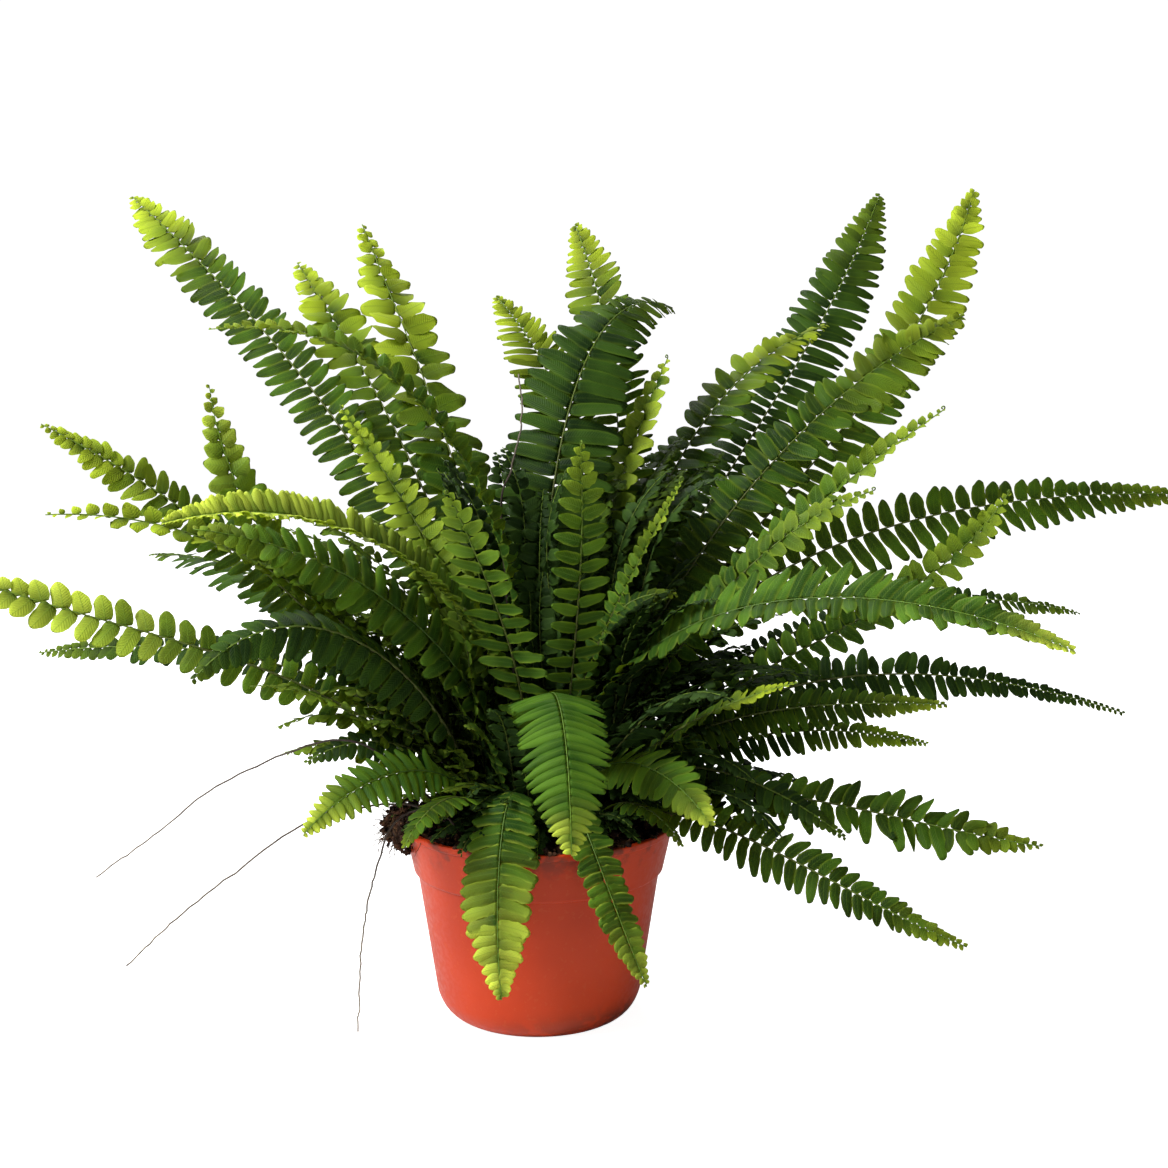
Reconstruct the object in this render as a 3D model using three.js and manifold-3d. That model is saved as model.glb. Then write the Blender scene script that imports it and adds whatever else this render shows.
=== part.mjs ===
// A sword fern in a plastic nursery pot: pot, soil, crown, fifty-three fronds, three wiry runners and a
// dry stem.
// Millimetres, +Z up. The origin is the middle of the pot's underside, and -Y is the plant's front.
import * as THREE from "three";
import { mergeVertices } from "three/addons/utils/BufferGeometryUtils.js";
import Module from "manifold-3d";

const wasm = await Module();
wasm.setup();
const { Manifold, Mesh } = wasm;
const { PI, cos, sin, hypot, min, max } = Math;
const deg = PI / 180;

// Pot, of the common 12 cm size.
const RIM_RADIUS = 60;
const POT_HEIGHT = 86;
const LIP_HEIGHT = 3; // a bead at the top of the rim's band
const LIP_SLOPE = 0.5; // height of the bead's sloping underside
const LIP_OUT = 1; // how far the bead stands out of the band
const BAND_FOOT = 65; // height where the rim's band steps out of the wall
const BAND_STEP = 1; // height of that step
const BAND_FOOT_RADIUS = 55;
const WALL_TOP_RADIUS = 53.2;
const WALL_FOOT_RADIUS = 45;
const WALL_FOOT = 9;
const FOOT_RADIUS = 38;
const WALL = 1.5;
const FLOOR = 3.4;
const RECESS = 1.6; // depth of the hollow ring under the floor
const RECESS_SLOPE = 1; // width of its sloping sides
const PAD_RADIUS = 14;
const RING_INNER_RADIUS = 34;
const DRAIN_HOLES = 8;
const DRAIN_RADIUS = 3.5;
const DRAIN_CIRCLE = 24;
const POT_SIDES = 30;
const DRAIN_SIDES = 6;

// Soil, crown and what stands in them.
const GAP = 0.35; // between pieces that touch
const SOIL_EDGE = 84; // height of the soil at the wall
const SOIL_RISE = 9; // and how much higher it is in the middle
const SOIL_SKIRT = 3; // height of the soil's upright edge
const SOIL_RINGS = [1, 0.8, 0.6, 0]; // of its top, as shares of the edge's radius
const SOIL_SIDES = POT_SIDES / 2;
const CLUMP_SIZE = [11, 15, 9];
const CLUMP_PLACE = [-57, -12, 89];
const CLUMP_BULGE = 0.22;
const CROWN_RADIUS = 25;
const CROWN_FOOT = 81;
const CROWN_TOP = 99;
const CROWN_SHOULDER = [0.6, 2]; // share of the radius, and distance under the top
const CROWN_WALL = 8; // where the crown's upright side ends, under its top
const CROWN_SIDES = 12;
const STAND_SINK = 1.5; // a frond on the crown begins this far under its top,
const STAND_DROP = 6; // and this much lower at the crown's edge
const ROOT_RING = 36; // the outermost stems stand this far from the axis
const STEM_DEPTH = 8; // a stem's length in the soil
const HOLE_ABOVE = 9; // a stem hole's cutter stands this far out of the soil

// Fronds.
const BLADE = 0.8; // thickness of a leaflet
const STEM_HALF = 1.1; // half the width of a stem at its foot
const RIB_HALF = 0.7; // half the width of the rib at the frond's tip
const RIB_THICK = 1.7; // thickness of the rib, flush with the blade's upper side
const BARE = 28; // bare length of a long frond's stem
const BARE_SHARE = 0.16; // and of a short one's, as a share of it
const STEP_BASE = 11.5; // from one pair of leaflets to the next,
const STEP_SHARE = 0.55; // with this share of the blade's half width
const LEAN = 7; // how far a leaflet leans towards the frond's tip, in degrees,
const LEAN_MORE = 26; // and how much more at the tip
const TIP_SHARE = 0.35; // the bare end of the rib, as a share of a step
const LEAFLET_END = 0.72; // width of a leaflet's blunt end against its base
const LEAFLET_NEAR_TIP = 0.8; // share of it on the side of the frond's tip
const FOOT_LENGTH = 0.5; // of the lowest leaflets, as a share of the half width,
const FOOT_GROWTH = 1.6; // and how fast they reach it all
const TIP_LEAST = 0.12; // of those at the very tip,
const TIP_CURVE = 2.5; // to which they shrink along a curve of this power on most fronds
const ROLL_IN = 0.35; // the blade has its whole roll from this share of the length
const CLEAR = 0.55; // least distance kept between leaflets of two fronds

// Each frond by hand: azimuth (0 right, 90 back, 180 left, 270 front), stand (0 axis, 1 root ring),
// reach and height of the tip, slope at the root and at the tip, sweep of the middle to its left,
// half width of the blade, roll of the blade to its right, fold of the two rows of leaflets upwards, and
// the stretch before the tip over which they shrink, in half widths. Two have a last value, the power
// of the curve along which they shrink.
// The two fronds with a reach below zero lean backwards, away from their azimuth, so that their upper side
// faces the front.
const FRONDS = [
  // back left
  [140, 0.5, 282, 370, 72, 32, 0, 18, -42, 4, 3],
  [126, 0.45, 222, 336, 70, 36, 0, 18, -25, 8, 4],
  [118, 0.55, 205, 356, 76, 50, -6, 21, 0, 6, 5],
  [106, 0.65, 75, 315, 88, 44, -38, 18, 0, 5, 3.2],
  [158, 0.3, 96, 265, 84, 52, 0, 14, -50, 15, 7],
  [168, 0.65, 150, 275, 48, 84, 0, 13, -50, 12, 5],
  // back right
  [82, 0.5, 112, 351, 84, 60, -38, 17, -15, 0, 3],
  [60, 0.05, 126, 311, 86, -12, 8, 26, 28, 0, 5],
  [47, 0.35, 86, 287, 84, 58, 2, 12, 0, 10, 8],
  [52, 0.6, 298, 376, 60, 56, 0, 21, 30, 0, 4],
  [38, 0.6, 282, 373, 60, 70, 0, 19, 42, 0, 3.5],
  [24, 0.45, 220, 307, 66, 22, 0, 22, 40, 0, 3],
  [42, 0.85, 189, 303, 80, 14, 9, 16, 15, 6, 5],
  // left
  [184, 0.35, 138, 299, 102, -8, 0, 11, -20, 40, 6],
  [186, 0.8, 207, 260, 58, 28, 0, 12, -50, 0, 5],
  [195, 0.72, 203, 225, 66, -2, 0, 9, -40, 35, 6],
  [212, 0.1, 166, 225, 86, -12, 0, 15, -25, 30, 4],
  [204, 0.3, 148, 220, 78, 8, 0, 17, -50, 0, 5],
  [190, 1.0, 231, 196, 62, 22, 0, 15, -60, 0, 4],
  [176, 0.95, 223, 157, 64, -8, 0, 9, -40, 10, 6],
  [212, 0.8, 156, 163, 78, -46, 0, 18, -50, -15, 4],
  [200, 0.9, 103, 119, 78, -32, 0, 11, -40, 0, 5],
  [222, 0.9, 122, 101, 72, -40, 0, 17, -20, 0, 3.5],
  [238, 1.0, 96, 96, 66, -50, 0, 11, 0, 0, 4],
  // front
  [261, 0.85, 82, 33, 78, -92, -5, 18, 0, -5, 3],
  [277, 0.2, 126, 106, 82, -86, 0, 21, 0, -8, 2.5],
  [308, 0.75, 113, 107, 76, -40, 0, 16, 0, 0, 3],
  [298, 0.92, 96, 40, 76, -70, -12, 12, 0, 0, 3.5],
  [236, 0.6, 52, 136, 66, 0, 0, 9, -30, 0, 4],
  [60, -0.3, -68, 235, 94, 116, -8, 15, 0, 5, 5],
  [115, -0.6, -44, 253, 100, 82, 0, 13, 0, 5, 5],
  [330, 0.2, 70, 238, 80, 60, 0, 9, 60, 35, 6],
  [348, 0.35, 61, 187, 82, -8, 0, 12, 40, 0, 4],
  [320, 0.75, 134, 163, 52, 18, 0, 9, 30, 15, 5],
  // right
  [353, 0.5, 171, 266, 66, 36, 0, 11, 35, 35, 6],
  [348, 0.6, 143, 233, 62, 20, 0, 12, 40, 10, 5],
  [22, 0.6, 359, 218, 68, -3, 0, 18, 55, 0, 10],
  [3, 0.85, 206, 229, 61, 59, 0, 12, 50, 20, 5],
  [328, 0.35, 234, 182, 80, -19, 0, 19, 30, 20, 7],
  [16, 0.9, 267, 166, 61, -15, 0, 8, 40, 0, 8],
  [8, 1.0, 271, 125, 55, -19, 0, 14, 55, 0, 7, 0.5],
  [350, 0.8, 175, 143, 61, 0, 0, 12, 55, 0, 8],
  [359, 1.0, 170, 120, 50, -13, 0, 11, 50, 0, 8],
  [344, 1.0, 215, 90, 30, -5, -4, 13, 50, 10, 3.5, 1],
  [334, 0.9, 191, 56, 26, -22, -18, 13, 45, 10, 8],
  [338, 0.68, 138, 91, 56, -36, 0, 9, 40, 0, 6],
  [315, 1.0, 85, 90, 62, -50, 0, 10, 0, 0, 5],
  // low back, out of sight from the front
  [150, 0.95, 225, 190, 52, -6, 0, 19, 0, 0, 4],
  [128, 0.9, 200, 120, 50, -30, 0, 18, 0, 0, 4],
  [106, 0.9, 235, 205, 58, 0, 0, 20, 0, 0, 4],
  [84, 0.95, 205, 130, 50, -26, 0, 19, 0, 0, 4],
  [66, 0.9, 230, 215, 56, 0, 0, 20, 0, 0, 4],
  [29, 1.0, 205, 125, 48, -26, 0, 18, 0, 0, 4],
];

// A runner is a wiry stem that leaves the soil and trails away: points by hand, from its root to its end.
const RUNNER_RADIUS = 0.6;
const RUNNER_SIDES = 5;
const RUNNER_STEPS = 10;
const RUNNERS = {
  runner_long: [
    [-36, -19, 85], [-52, -32, 110], [-80, -45, 131],
    [-126, -46, 115], [-156, -48, 93], [-182, -50, 74],
  ],
  runner_middle: [
    [-33, -25, 85], [-48, -39, 101], [-70, -46, 103],
    [-98, -48, 95], [-140, -65, 66], [-164, -75, 45],
  ],
  runner_hanging: [
    [-29, -32, 85], [-42, -50, 103], [-57, -61, 100],
    [-65, -69, 78], [-69, -76, 55], [-70, -85, 21],
  ],
  dry_stem: [
    [-5, 9, 97], [-12, 9, 160], [-16, 8, 222],
    [-12, 8, 238], [-7, 10, 260], [-8, 10, 280],
  ],
};

const LEAF_GREEN = 0x3f6f24;
const POT_ORANGE = 0xc9502a;
const SOIL_BROWN = 0x2f1d14;
const CROWN_BROWN = 0x4d3520;
const RUNNER_GREY = 0x6b6358;

// Solids and meshes.
function solid(geometry) {
  const bare = geometry.clone().deleteAttribute("normal").deleteAttribute("uv");
  const merged = mergeVertices(bare.index ? bare.toNonIndexed() : bare, 1e-4);
  return new Manifold(
    new Mesh({
      numProp: 3,
      vertProperties: merged.attributes.position.array,
      triVerts: new Uint32Array(merged.index.array),
    }),
  );
}

function geometryOf(manifold) {
  const { numProp, vertProperties, triVerts } = manifold.getMesh();
  const place = [];
  for (let i = 0; i < vertProperties.length; i += numProp) {
    place.push(vertProperties[i], vertProperties[i + 1], vertProperties[i + 2]);
  }
  return new THREE.BufferGeometry()
    .setAttribute("position", new THREE.Float32BufferAttribute(place, 3))
    .setIndex(Array.from(triVerts));
}

function named(name, geometry, color, roughness = 0.6) {
  const facing = geometry.index ? geometry : mergeVertices(geometry);
  facing.computeVertexNormals();
  const mesh = new THREE.Mesh(facing, new THREE.MeshStandardMaterial({ color, roughness, metalness: 0 }));
  mesh.name = name;
  return mesh;
}

// A profile of [radius, height] points turned round the Z axis.
function turned(profile, sides) {
  const points = profile.map(([r, z]) => new THREE.Vector2(r, z));
  return new THREE.LatheGeometry(points, sides).rotateX(PI / 2);
}

// Pot.
function wallRing(gap) {
  const inner = (r) => r - WALL - gap;
  const outer = (r) => r + gap;
  const lipFoot = POT_HEIGHT - LIP_HEIGHT;
  return [
    [inner(WALL_FOOT_RADIUS), WALL_FOOT],
    [outer(WALL_FOOT_RADIUS), WALL_FOOT],
    [outer(WALL_TOP_RADIUS), BAND_FOOT - BAND_STEP],
    [outer(BAND_FOOT_RADIUS), BAND_FOOT],
    [outer(RIM_RADIUS - LIP_OUT), lipFoot],
    [outer(RIM_RADIUS), lipFoot + LIP_SLOPE],
    [outer(RIM_RADIUS), POT_HEIGHT + gap],
    [inner(RIM_RADIUS - LIP_OUT), POT_HEIGHT + gap],
    [inner(BAND_FOOT_RADIUS), BAND_FOOT],
    [inner(WALL_TOP_RADIUS), BAND_FOOT - BAND_STEP],
    [inner(WALL_FOOT_RADIUS), WALL_FOOT],
  ];
}

function pot() {
  const profile = [
    [0, 0],
    [PAD_RADIUS, 0],
    [PAD_RADIUS + RECESS_SLOPE, RECESS],
    [RING_INNER_RADIUS - RECESS_SLOPE, RECESS],
    [RING_INNER_RADIUS, 0],
    [FOOT_RADIUS, 0],
    ...wallRing(0).slice(1),
    [FOOT_RADIUS, FLOOR],
    [0, FLOOR],
  ];
  const drills = [];
  for (let i = 0; i < DRAIN_HOLES; i++) {
    const a = ((i + 0.5) / DRAIN_HOLES) * 2 * PI;
    const drill = new THREE.CylinderGeometry(DRAIN_RADIUS, DRAIN_RADIUS, 3 * FLOOR, DRAIN_SIDES);
    drills.push(solid(drill.rotateX(PI / 2).translate(DRAIN_CIRCLE * cos(a), DRAIN_CIRCLE * sin(a), 0)));
  }
  return solid(turned(profile, POT_SIDES)).subtract(Manifold.union(drills));
}

// Soil: lumpy on top, against the wall all round, with a clump of roots that spills over the rim on the
// left.
function soilHeight(x, y) {
  const share = min(1, hypot(x, y) / RIM_RADIUS);
  const lumps = 1.1 * sin(x * 0.21 + 1) * cos(y * 0.17) + 0.7 * sin(x * 0.11 - y * 0.23);
  return SOIL_EDGE + SOIL_RISE * (1 - share * share) + lumps * (1 - share ** 6);
}

function innerRadius(z) {
  const rise = z < BAND_FOOT ? z - WALL_FOOT : z - BAND_FOOT;
  const foot = z < BAND_FOOT ? WALL_FOOT_RADIUS : BAND_FOOT_RADIUS;
  const top = z < BAND_FOOT ? WALL_TOP_RADIUS : RIM_RADIUS - LIP_OUT;
  const height = z < BAND_FOOT ? BAND_FOOT - BAND_STEP - WALL_FOOT : POT_HEIGHT - BAND_FOOT;
  return foot + ((top - foot) * rise) / height - WALL;
}

function crownPlug(gap) {
  const r = CROWN_RADIUS + gap;
  const profile = [
    [0, CROWN_FOOT - gap],
    [r, CROWN_FOOT - gap],
    [r, CROWN_TOP - CROWN_WALL],
    [r * CROWN_SHOULDER[0], CROWN_TOP - CROWN_SHOULDER[1]],
    [0, CROWN_TOP],
  ];
  return solid(turned(profile, CROWN_SIDES));
}

function clump() {
  const ball = new THREE.IcosahedronGeometry(1, 1).deleteAttribute("normal").deleteAttribute("uv");
  const place = ball.attributes.position;
  for (let i = 0; i < place.count; i++) {
    const [x, y, z] = [place.getX(i), place.getY(i), place.getZ(i)];
    const bulge = 1 + CLUMP_BULGE * sin(5 * x + 2) * cos(4 * y + 7 * z);
    place.setXYZ(i, x * bulge, y * bulge, z * bulge);
  }
  ball.scale(...CLUMP_SIZE).translate(...CLUMP_PLACE);
  return solid(ball).subtract(solid(turned(wallRing(GAP), POT_SIDES)));
}

function soil() {
  const foot = FLOOR + GAP;
  const skirtFoot = SOIL_EDGE - SOIL_SKIRT;
  const bandFoot = BAND_FOOT - BAND_STEP;
  const edge = innerRadius(skirtFoot) - GAP;
  const profile = [
    [0, foot],
    [FOOT_RADIUS - 2, foot],
    [innerRadius(WALL_FOOT) - GAP, WALL_FOOT + 1],
    [innerRadius(bandFoot) - GAP, bandFoot],
    [innerRadius(BAND_FOOT) - GAP, BAND_FOOT + BAND_STEP],
    [edge, skirtFoot],
    ...SOIL_RINGS.map((share) => [edge * share, SOIL_EDGE]),
  ];
  const shape = turned(profile, SOIL_SIDES);
  const place = shape.attributes.position;
  for (let i = 0; i < place.count; i++) {
    if (place.getZ(i) > SOIL_EDGE - 0.01) place.setZ(i, soilHeight(place.getX(i), place.getY(i)));
  }
  return solid(shape).add(clump()).subtract(crownPlug(GAP));
}

const lifted = (point, way, by) => point.clone().addScaledVector(way, by);

// Fronds. A frond's line leaves its stand steeply and arches over to its tip.
function standOf([azimuth, ring]) {
  const a = azimuth * deg;
  const x = ring * ROOT_RING * cos(a);
  const y = ring * ROOT_RING * sin(a);
  const share = hypot(x, y) / CROWN_RADIUS;
  const z = share < 1 ? CROWN_TOP - STAND_SINK - STAND_DROP * share ** 2 : soilHeight(x, y);
  return new THREE.Vector3(x, y, z);
}

function slope(azimuth, rise) {
  const level = cos(rise * deg);
  return new THREE.Vector3(cos(azimuth * deg) * level, sin(azimuth * deg) * level, sin(rise * deg));
}

// Share of the chord that a Bezier handle takes, so that a line which turns by this much stays round.
function arcPull(turn) {
  const bend = max(0.5, Math.abs(turn));
  return ((2 / 3) * Math.tan(bend / 4)) / sin(bend / 2);
}

class Frond {
  constructor(row, index) {
    const [azimuth, , reach, height, launch, arrive, sweep, halfWidth, roll, fold, taper, curve] = row;
    Object.assign(this, { azimuth, halfWidth, roll, fold, taper, curve: curve ?? TIP_CURVE });
    this.name = "frond_" + String(index + 1).padStart(2, "0");
    this.root = standOf(row);
    const tip = new THREE.Vector3(reach * cos(azimuth * deg), reach * sin(azimuth * deg), height);
    const pull = this.root.distanceTo(tip) * arcPull((launch - arrive) * deg);
    const aside = new THREE.Vector3(-sin(azimuth * deg), cos(azimuth * deg), 0).multiplyScalar(sweep);
    const first = this.root.clone().addScaledVector(slope(azimuth, launch), pull).add(aside);
    const second = tip.clone().addScaledVector(slope(azimuth, arrive), -pull).add(aside);
    this.out = first.clone().sub(this.root).normalize();
    this.line = new THREE.CubicBezierCurve3(this.root, first, second, tip);
    this.length = this.line.getLength();
    this.bare = min(BARE_SHARE, BARE / this.length);
    const step = STEP_BASE + STEP_SHARE * halfWidth;
    this.pairs = max(4, Math.round((this.length * (1 - this.bare)) / step));
    this.leaflets = [];
  }

  // The blade's frame at share u of the length: along it, to its left side, and out of its upper face.
  frame(u) {
    const along = this.line.getTangentAt(u);
    const level = new THREE.Vector3(-sin(this.azimuth * deg), cos(this.azimuth * deg), 0);
    const side = level.addScaledVector(along, -level.dot(along)).normalize();
    side.applyAxisAngle(along, this.roll * deg * min(1, u / ROLL_IN));
    return { at: this.line.getPointAt(u), along, side, face: along.clone().cross(side) };
  }

  station(i) {
    return this.bare + ((1 - this.bare) * i) / (this.pairs + TIP_SHARE);
  }

  ribHalf(u) {
    return STEM_HALF + (RIB_HALF - STEM_HALF) * u;
  }

  // Length of the leaflets at share t of the leafy part: short at the foot and small at the tip.
  leafletLength(t) {
    const foot = min(1, FOOT_LENGTH + FOOT_GROWTH * t);
    const left = (1 - t) * (1 - this.bare) * this.length;
    const shrunk = 1 - min(1, left / (this.taper * this.halfWidth));
    return this.halfWidth * foot * (1 - (1 - TIP_LEAST) * shrunk ** this.curve);
  }

  // The four corners of a leaflet's middle sheet: two on the rib, two at its blunt end.
  sheet(i, hand, bend, share) {
    const u0 = this.station(i);
    const u1 = this.station(i + 1);
    const t = (i + 0.5) / this.pairs;
    const foot = this.frame(u0);
    const head = this.frame(u1);
    const middle = this.frame((u0 + u1) / 2);
    const rise = (this.fold + bend) * deg;
    const lean = (LEAN + LEAN_MORE * t * t) * deg;
    const way = middle.side.clone().multiplyScalar(hand * cos(rise) * cos(lean));
    way.addScaledVector(middle.face, sin(rise) * cos(lean)).addScaledVector(middle.along, sin(lean));
    const face = middle.face.clone().multiplyScalar(cos(rise));
    face.addScaledVector(middle.side, -hand * sin(rise));
    const reach = this.leafletLength(t) * share;
    const end = ((u1 - u0) * this.length * LEAFLET_END) / 2;
    const edge = (f, u) => f.at.clone().addScaledVector(f.side, hand * this.ribHalf(u));
    const base0 = edge(foot, u0);
    const base1 = edge(head, u1);
    const far = base0.clone().add(base1).multiplyScalar(0.5).addScaledVector(way, reach);
    const far0 = lifted(far, middle.along, -end);
    const far1 = lifted(far, middle.along, end * LEAFLET_NEAR_TIP);
    return { corners: [base0, far0, far1, base1], faces: [foot.face, face, face, head.face] };
  }
}

// Collects triangles from corner points; each ring of corners is seen counter-clockwise from outside.
class Skin {
  constructor() {
    this.place = [];
  }

  face(...ring) {
    for (let i = 1; i < ring.length - 1; i++) {
      [ring[0], ring[i], ring[i + 1]].forEach((p) => this.place.push(p.x, p.y, p.z));
    }
  }

  solid() {
    const place = new THREE.Float32BufferAttribute(this.place, 3);
    return solid(new THREE.BufferGeometry().setAttribute("position", place));
  }
}

// The skin of one leaflet: its two faces and its outer edges, and its foot too where it is tested alone.
function addLeaflet(skin, { corners, faces }, hand, spread, alone) {
  const under = alone ? [1, 1, 1, 1] : [RIB_THICK / BLADE - 0.5, 0.5, 0.5, RIB_THICK / BLADE - 0.5];
  const upper = corners.map((c, i) => lifted(c, faces[i], BLADE / 2 + spread));
  const lower = corners.map((c, i) => lifted(c, faces[i], -BLADE * under[i] - spread));
  const order = hand > 0 ? [0, 3, 2, 1] : [0, 1, 2, 3];
  const ring = order.map((i) => upper[i]);
  const back = order.map((i) => lower[i]);
  skin.face(ring[0], ring[1], ring[2]);
  skin.face(ring[0], ring[2], ring[3]);
  skin.face(back[2], back[1], back[0]);
  skin.face(back[3], back[2], back[0]);
  const foot = hand > 0 ? 0 : 3;
  for (let i = 0; i < 4; i++) {
    if (i === foot && !alone) continue;
    const j = (i + 1) % 4;
    skin.face(ring[i], back[i], back[j]);
    skin.face(ring[i], back[j], ring[j]);
  }
}

// The rib and stem are four-sided, flush with the blade's upper side: left corners first.
const RIB_SIDES = 4;

function ribSection(frond, u, at, frame, spread) {
  const half = frond.ribHalf(u) + spread;
  const upper = BLADE / 2 + spread;
  const lower = BLADE / 2 - RIB_THICK - spread;
  const corner = (side, face) => lifted(lifted(at, frame.side, side), frame.face, face);
  return [corner(half, upper), corner(half, lower), corner(-half, lower), corner(-half, upper)];
}

const STEM_SECTIONS = [0.004, 0.08]; // shares of the frond's length, below its first leaflet

function ribSections(frond, spread) {
  const buried = frond.root.clone().addScaledVector(frond.out, -STEM_DEPTH);
  const shares = [...STEM_SECTIONS];
  for (let i = 0; i <= frond.pairs; i++) shares.push(frond.station(i));
  shares.push(1);
  const rest = shares.map((u) => {
    const frame = frond.frame(u);
    return ribSection(frond, u, frame.at, frame, spread);
  });
  return [ribSection(frond, 0, buried, frond.frame(0), spread), ...rest];
}

function addRib(skin, frond, spread, leafy) {
  const rings = ribSections(frond, spread);
  const leafletOf = (k, side) => frond.leaflets[k - STEM_SECTIONS.length - 1]?.[side / 2];
  skin.face(...rings[0]);
  skin.face(...rings.at(-1).slice().reverse());
  for (let k = 0; k + 1 < rings.length; k++) {
    for (let i = 0; i < RIB_SIDES; i++) {
      const j = (i + 1) % RIB_SIDES;
      if (leafy && i % 2 === 0 && leafletOf(k, i)) continue;
      skin.face(rings[k][i], rings[k + 1][i], rings[k + 1][j]);
      skin.face(rings[k][i], rings[k + 1][j], rings[k][j]);
    }
  }
}

function frondSolid(frond) {
  const skin = new Skin();
  addRib(skin, frond, 0, true);
  frond.leaflets.forEach((pair) =>
    pair.forEach((sheet, k) => {
      if (sheet) addLeaflet(skin, sheet, k === 0 ? 1 : -1, 0, false);
    }),
  );
  return skin.solid();
}

// Leaflets that would cross another frond are bent up or down, shortened or left out.
// Each try is a bend in degrees and a share of the length.
const TRIES = [
  [0, 1], [14, 1], [-14, 1], [26, 0.95], [-26, 0.95], [38, 0.85], [-38, 0.85],
  [0, 0.65], [20, 0.6], [-20, 0.6], [50, 0.6], [-50, 0.6],
  [0, 0.4], [35, 0.4], [-35, 0.4],
];

function boxesMeet(a, b) {
  return [0, 1, 2].every((k) => a.min[k] < b.max[k] && b.min[k] < a.max[k]);
}

function meets(made, box, others) {
  return others.some((other) => {
    if (!boxesMeet(box, other.box)) return false;
    const common = made.intersect(other.solid);
    const empty = common.isEmpty();
    common.delete();
    return !empty;
  });
}

function placeLeaflets(fronds, standing) {
  const ribs = fronds.map((frond) => {
    const skin = new Skin();
    addRib(skin, frond, CLEAR, false);
    const made = skin.solid();
    return { frond, solid: made, box: made.boundingBox() };
  });
  const placed = [];
  fronds.forEach((frond) => {
    const others = [...ribs, ...placed].filter((o) => o.frond !== frond).concat(standing);
    for (let i = 0; i < frond.pairs; i++) {
      const pair = [1, -1].map((hand) => {
        for (const [bend, share] of TRIES) {
          const sheet = frond.sheet(i, hand, bend, share);
          const wide = new Skin();
          addLeaflet(wide, sheet, hand, CLEAR, true);
          const trial = wide.solid();
          if (!meets(trial, trial.boundingBox(), others)) {
            placed.push({ frond, solid: trial, box: trial.boundingBox() });
            return sheet;
          }
          trial.delete();
        }
        return null;
      });
      frond.leaflets.push(pair);
    }
  });
}

// A plain hole for a stem that stands at a place and leaves it one way.
function stemHole(root, way, side, wide, deep, high) {
  const size = STEM_DEPTH + GAP + HOLE_ABOVE;
  const drill = new THREE.BoxGeometry(2 * wide, high + deep, size);
  drill.translate(0, (high - deep) / 2, size / 2 - STEM_DEPTH - GAP);
  const face = way.clone().cross(side);
  drill.applyMatrix4(new THREE.Matrix4().makeBasis(face.clone().cross(way), face, way).setPosition(root));
  return solid(drill);
}

function frondHole(frond) {
  const { side } = frond.frame(0);
  const deep = RIB_THICK - BLADE / 2 + GAP;
  return stemHole(frond.root, frond.out, side, STEM_HALF + GAP, deep, BLADE / 2 + GAP);
}

// Runners: thin round stems along a smooth line.
function runnerStart(points) {
  const [root, next] = points.slice(0, 2).map((p) => new THREE.Vector3(...p));
  return { root, way: next.sub(root).normalize() };
}

function runner(points, spread = 0) {
  const { root, way } = runnerStart(points);
  const buried = root.clone().addScaledVector(way, -STEM_DEPTH);
  const line = new THREE.CatmullRomCurve3([buried, ...points.map((p) => new THREE.Vector3(...p))]);
  const section = new THREE.Shape();
  section.absarc(0, 0, RUNNER_RADIUS + spread, 0, 2 * PI);
  const options = { steps: RUNNER_STEPS, curveSegments: RUNNER_SIDES, extrudePath: line };
  return solid(new THREE.ExtrudeGeometry(section, { ...options, bevelEnabled: false }));
}

function runnerHole(points) {
  const { root, way } = runnerStart(points);
  const side = new THREE.Vector3(0, 0, 1).cross(way).normalize();
  const wide = RUNNER_RADIUS + 2 * GAP;
  return stemHole(root, way, side, wide, wide, wide);
}

const fronds = FRONDS.map((row, index) => new Frond(row, index));
const holes = Manifold.union([...fronds.map(frondHole), ...Object.values(RUNNERS).map(runnerHole)]);
const potBody = pot();
const soilBody = soil();
const wiry = Object.values(RUNNERS).map((points) => runner(points, CLEAR));
const standing = [potBody, soilBody, ...wiry].map((made) => ({ solid: made, box: made.boundingBox() }));
placeLeaflets(fronds, standing);

const group = new THREE.Group();
group.name = "potted_fern";
group.add(named("pot", geometryOf(potBody), POT_ORANGE, 0.45));
group.add(named("soil", geometryOf(soilBody.subtract(holes)), SOIL_BROWN, 0.95));
group.add(named("crown", geometryOf(crownPlug(0).subtract(holes)), CROWN_BROWN, 0.9));
fronds.forEach((frond) => group.add(named(frond.name, geometryOf(frondSolid(frond)), LEAF_GREEN)));
for (const [name, points] of Object.entries(RUNNERS)) {
  group.add(named(name, geometryOf(runner(points)), RUNNER_GREY, 0.8));
}

export default group;
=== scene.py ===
# %% [markdown]
# # A potted sword fern
# The plant stands in a small plastic nursery pot. About fifty fronds rise from one woody crown, and each
# frond is a wiry rib with two rows of leaflets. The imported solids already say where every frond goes, with
# leaflets that are few and broad. This script grows the fine plant on the same lines, piece by piece.

import math

import bmesh
import bpy
import numpy as np
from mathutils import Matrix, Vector, noise


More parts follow.
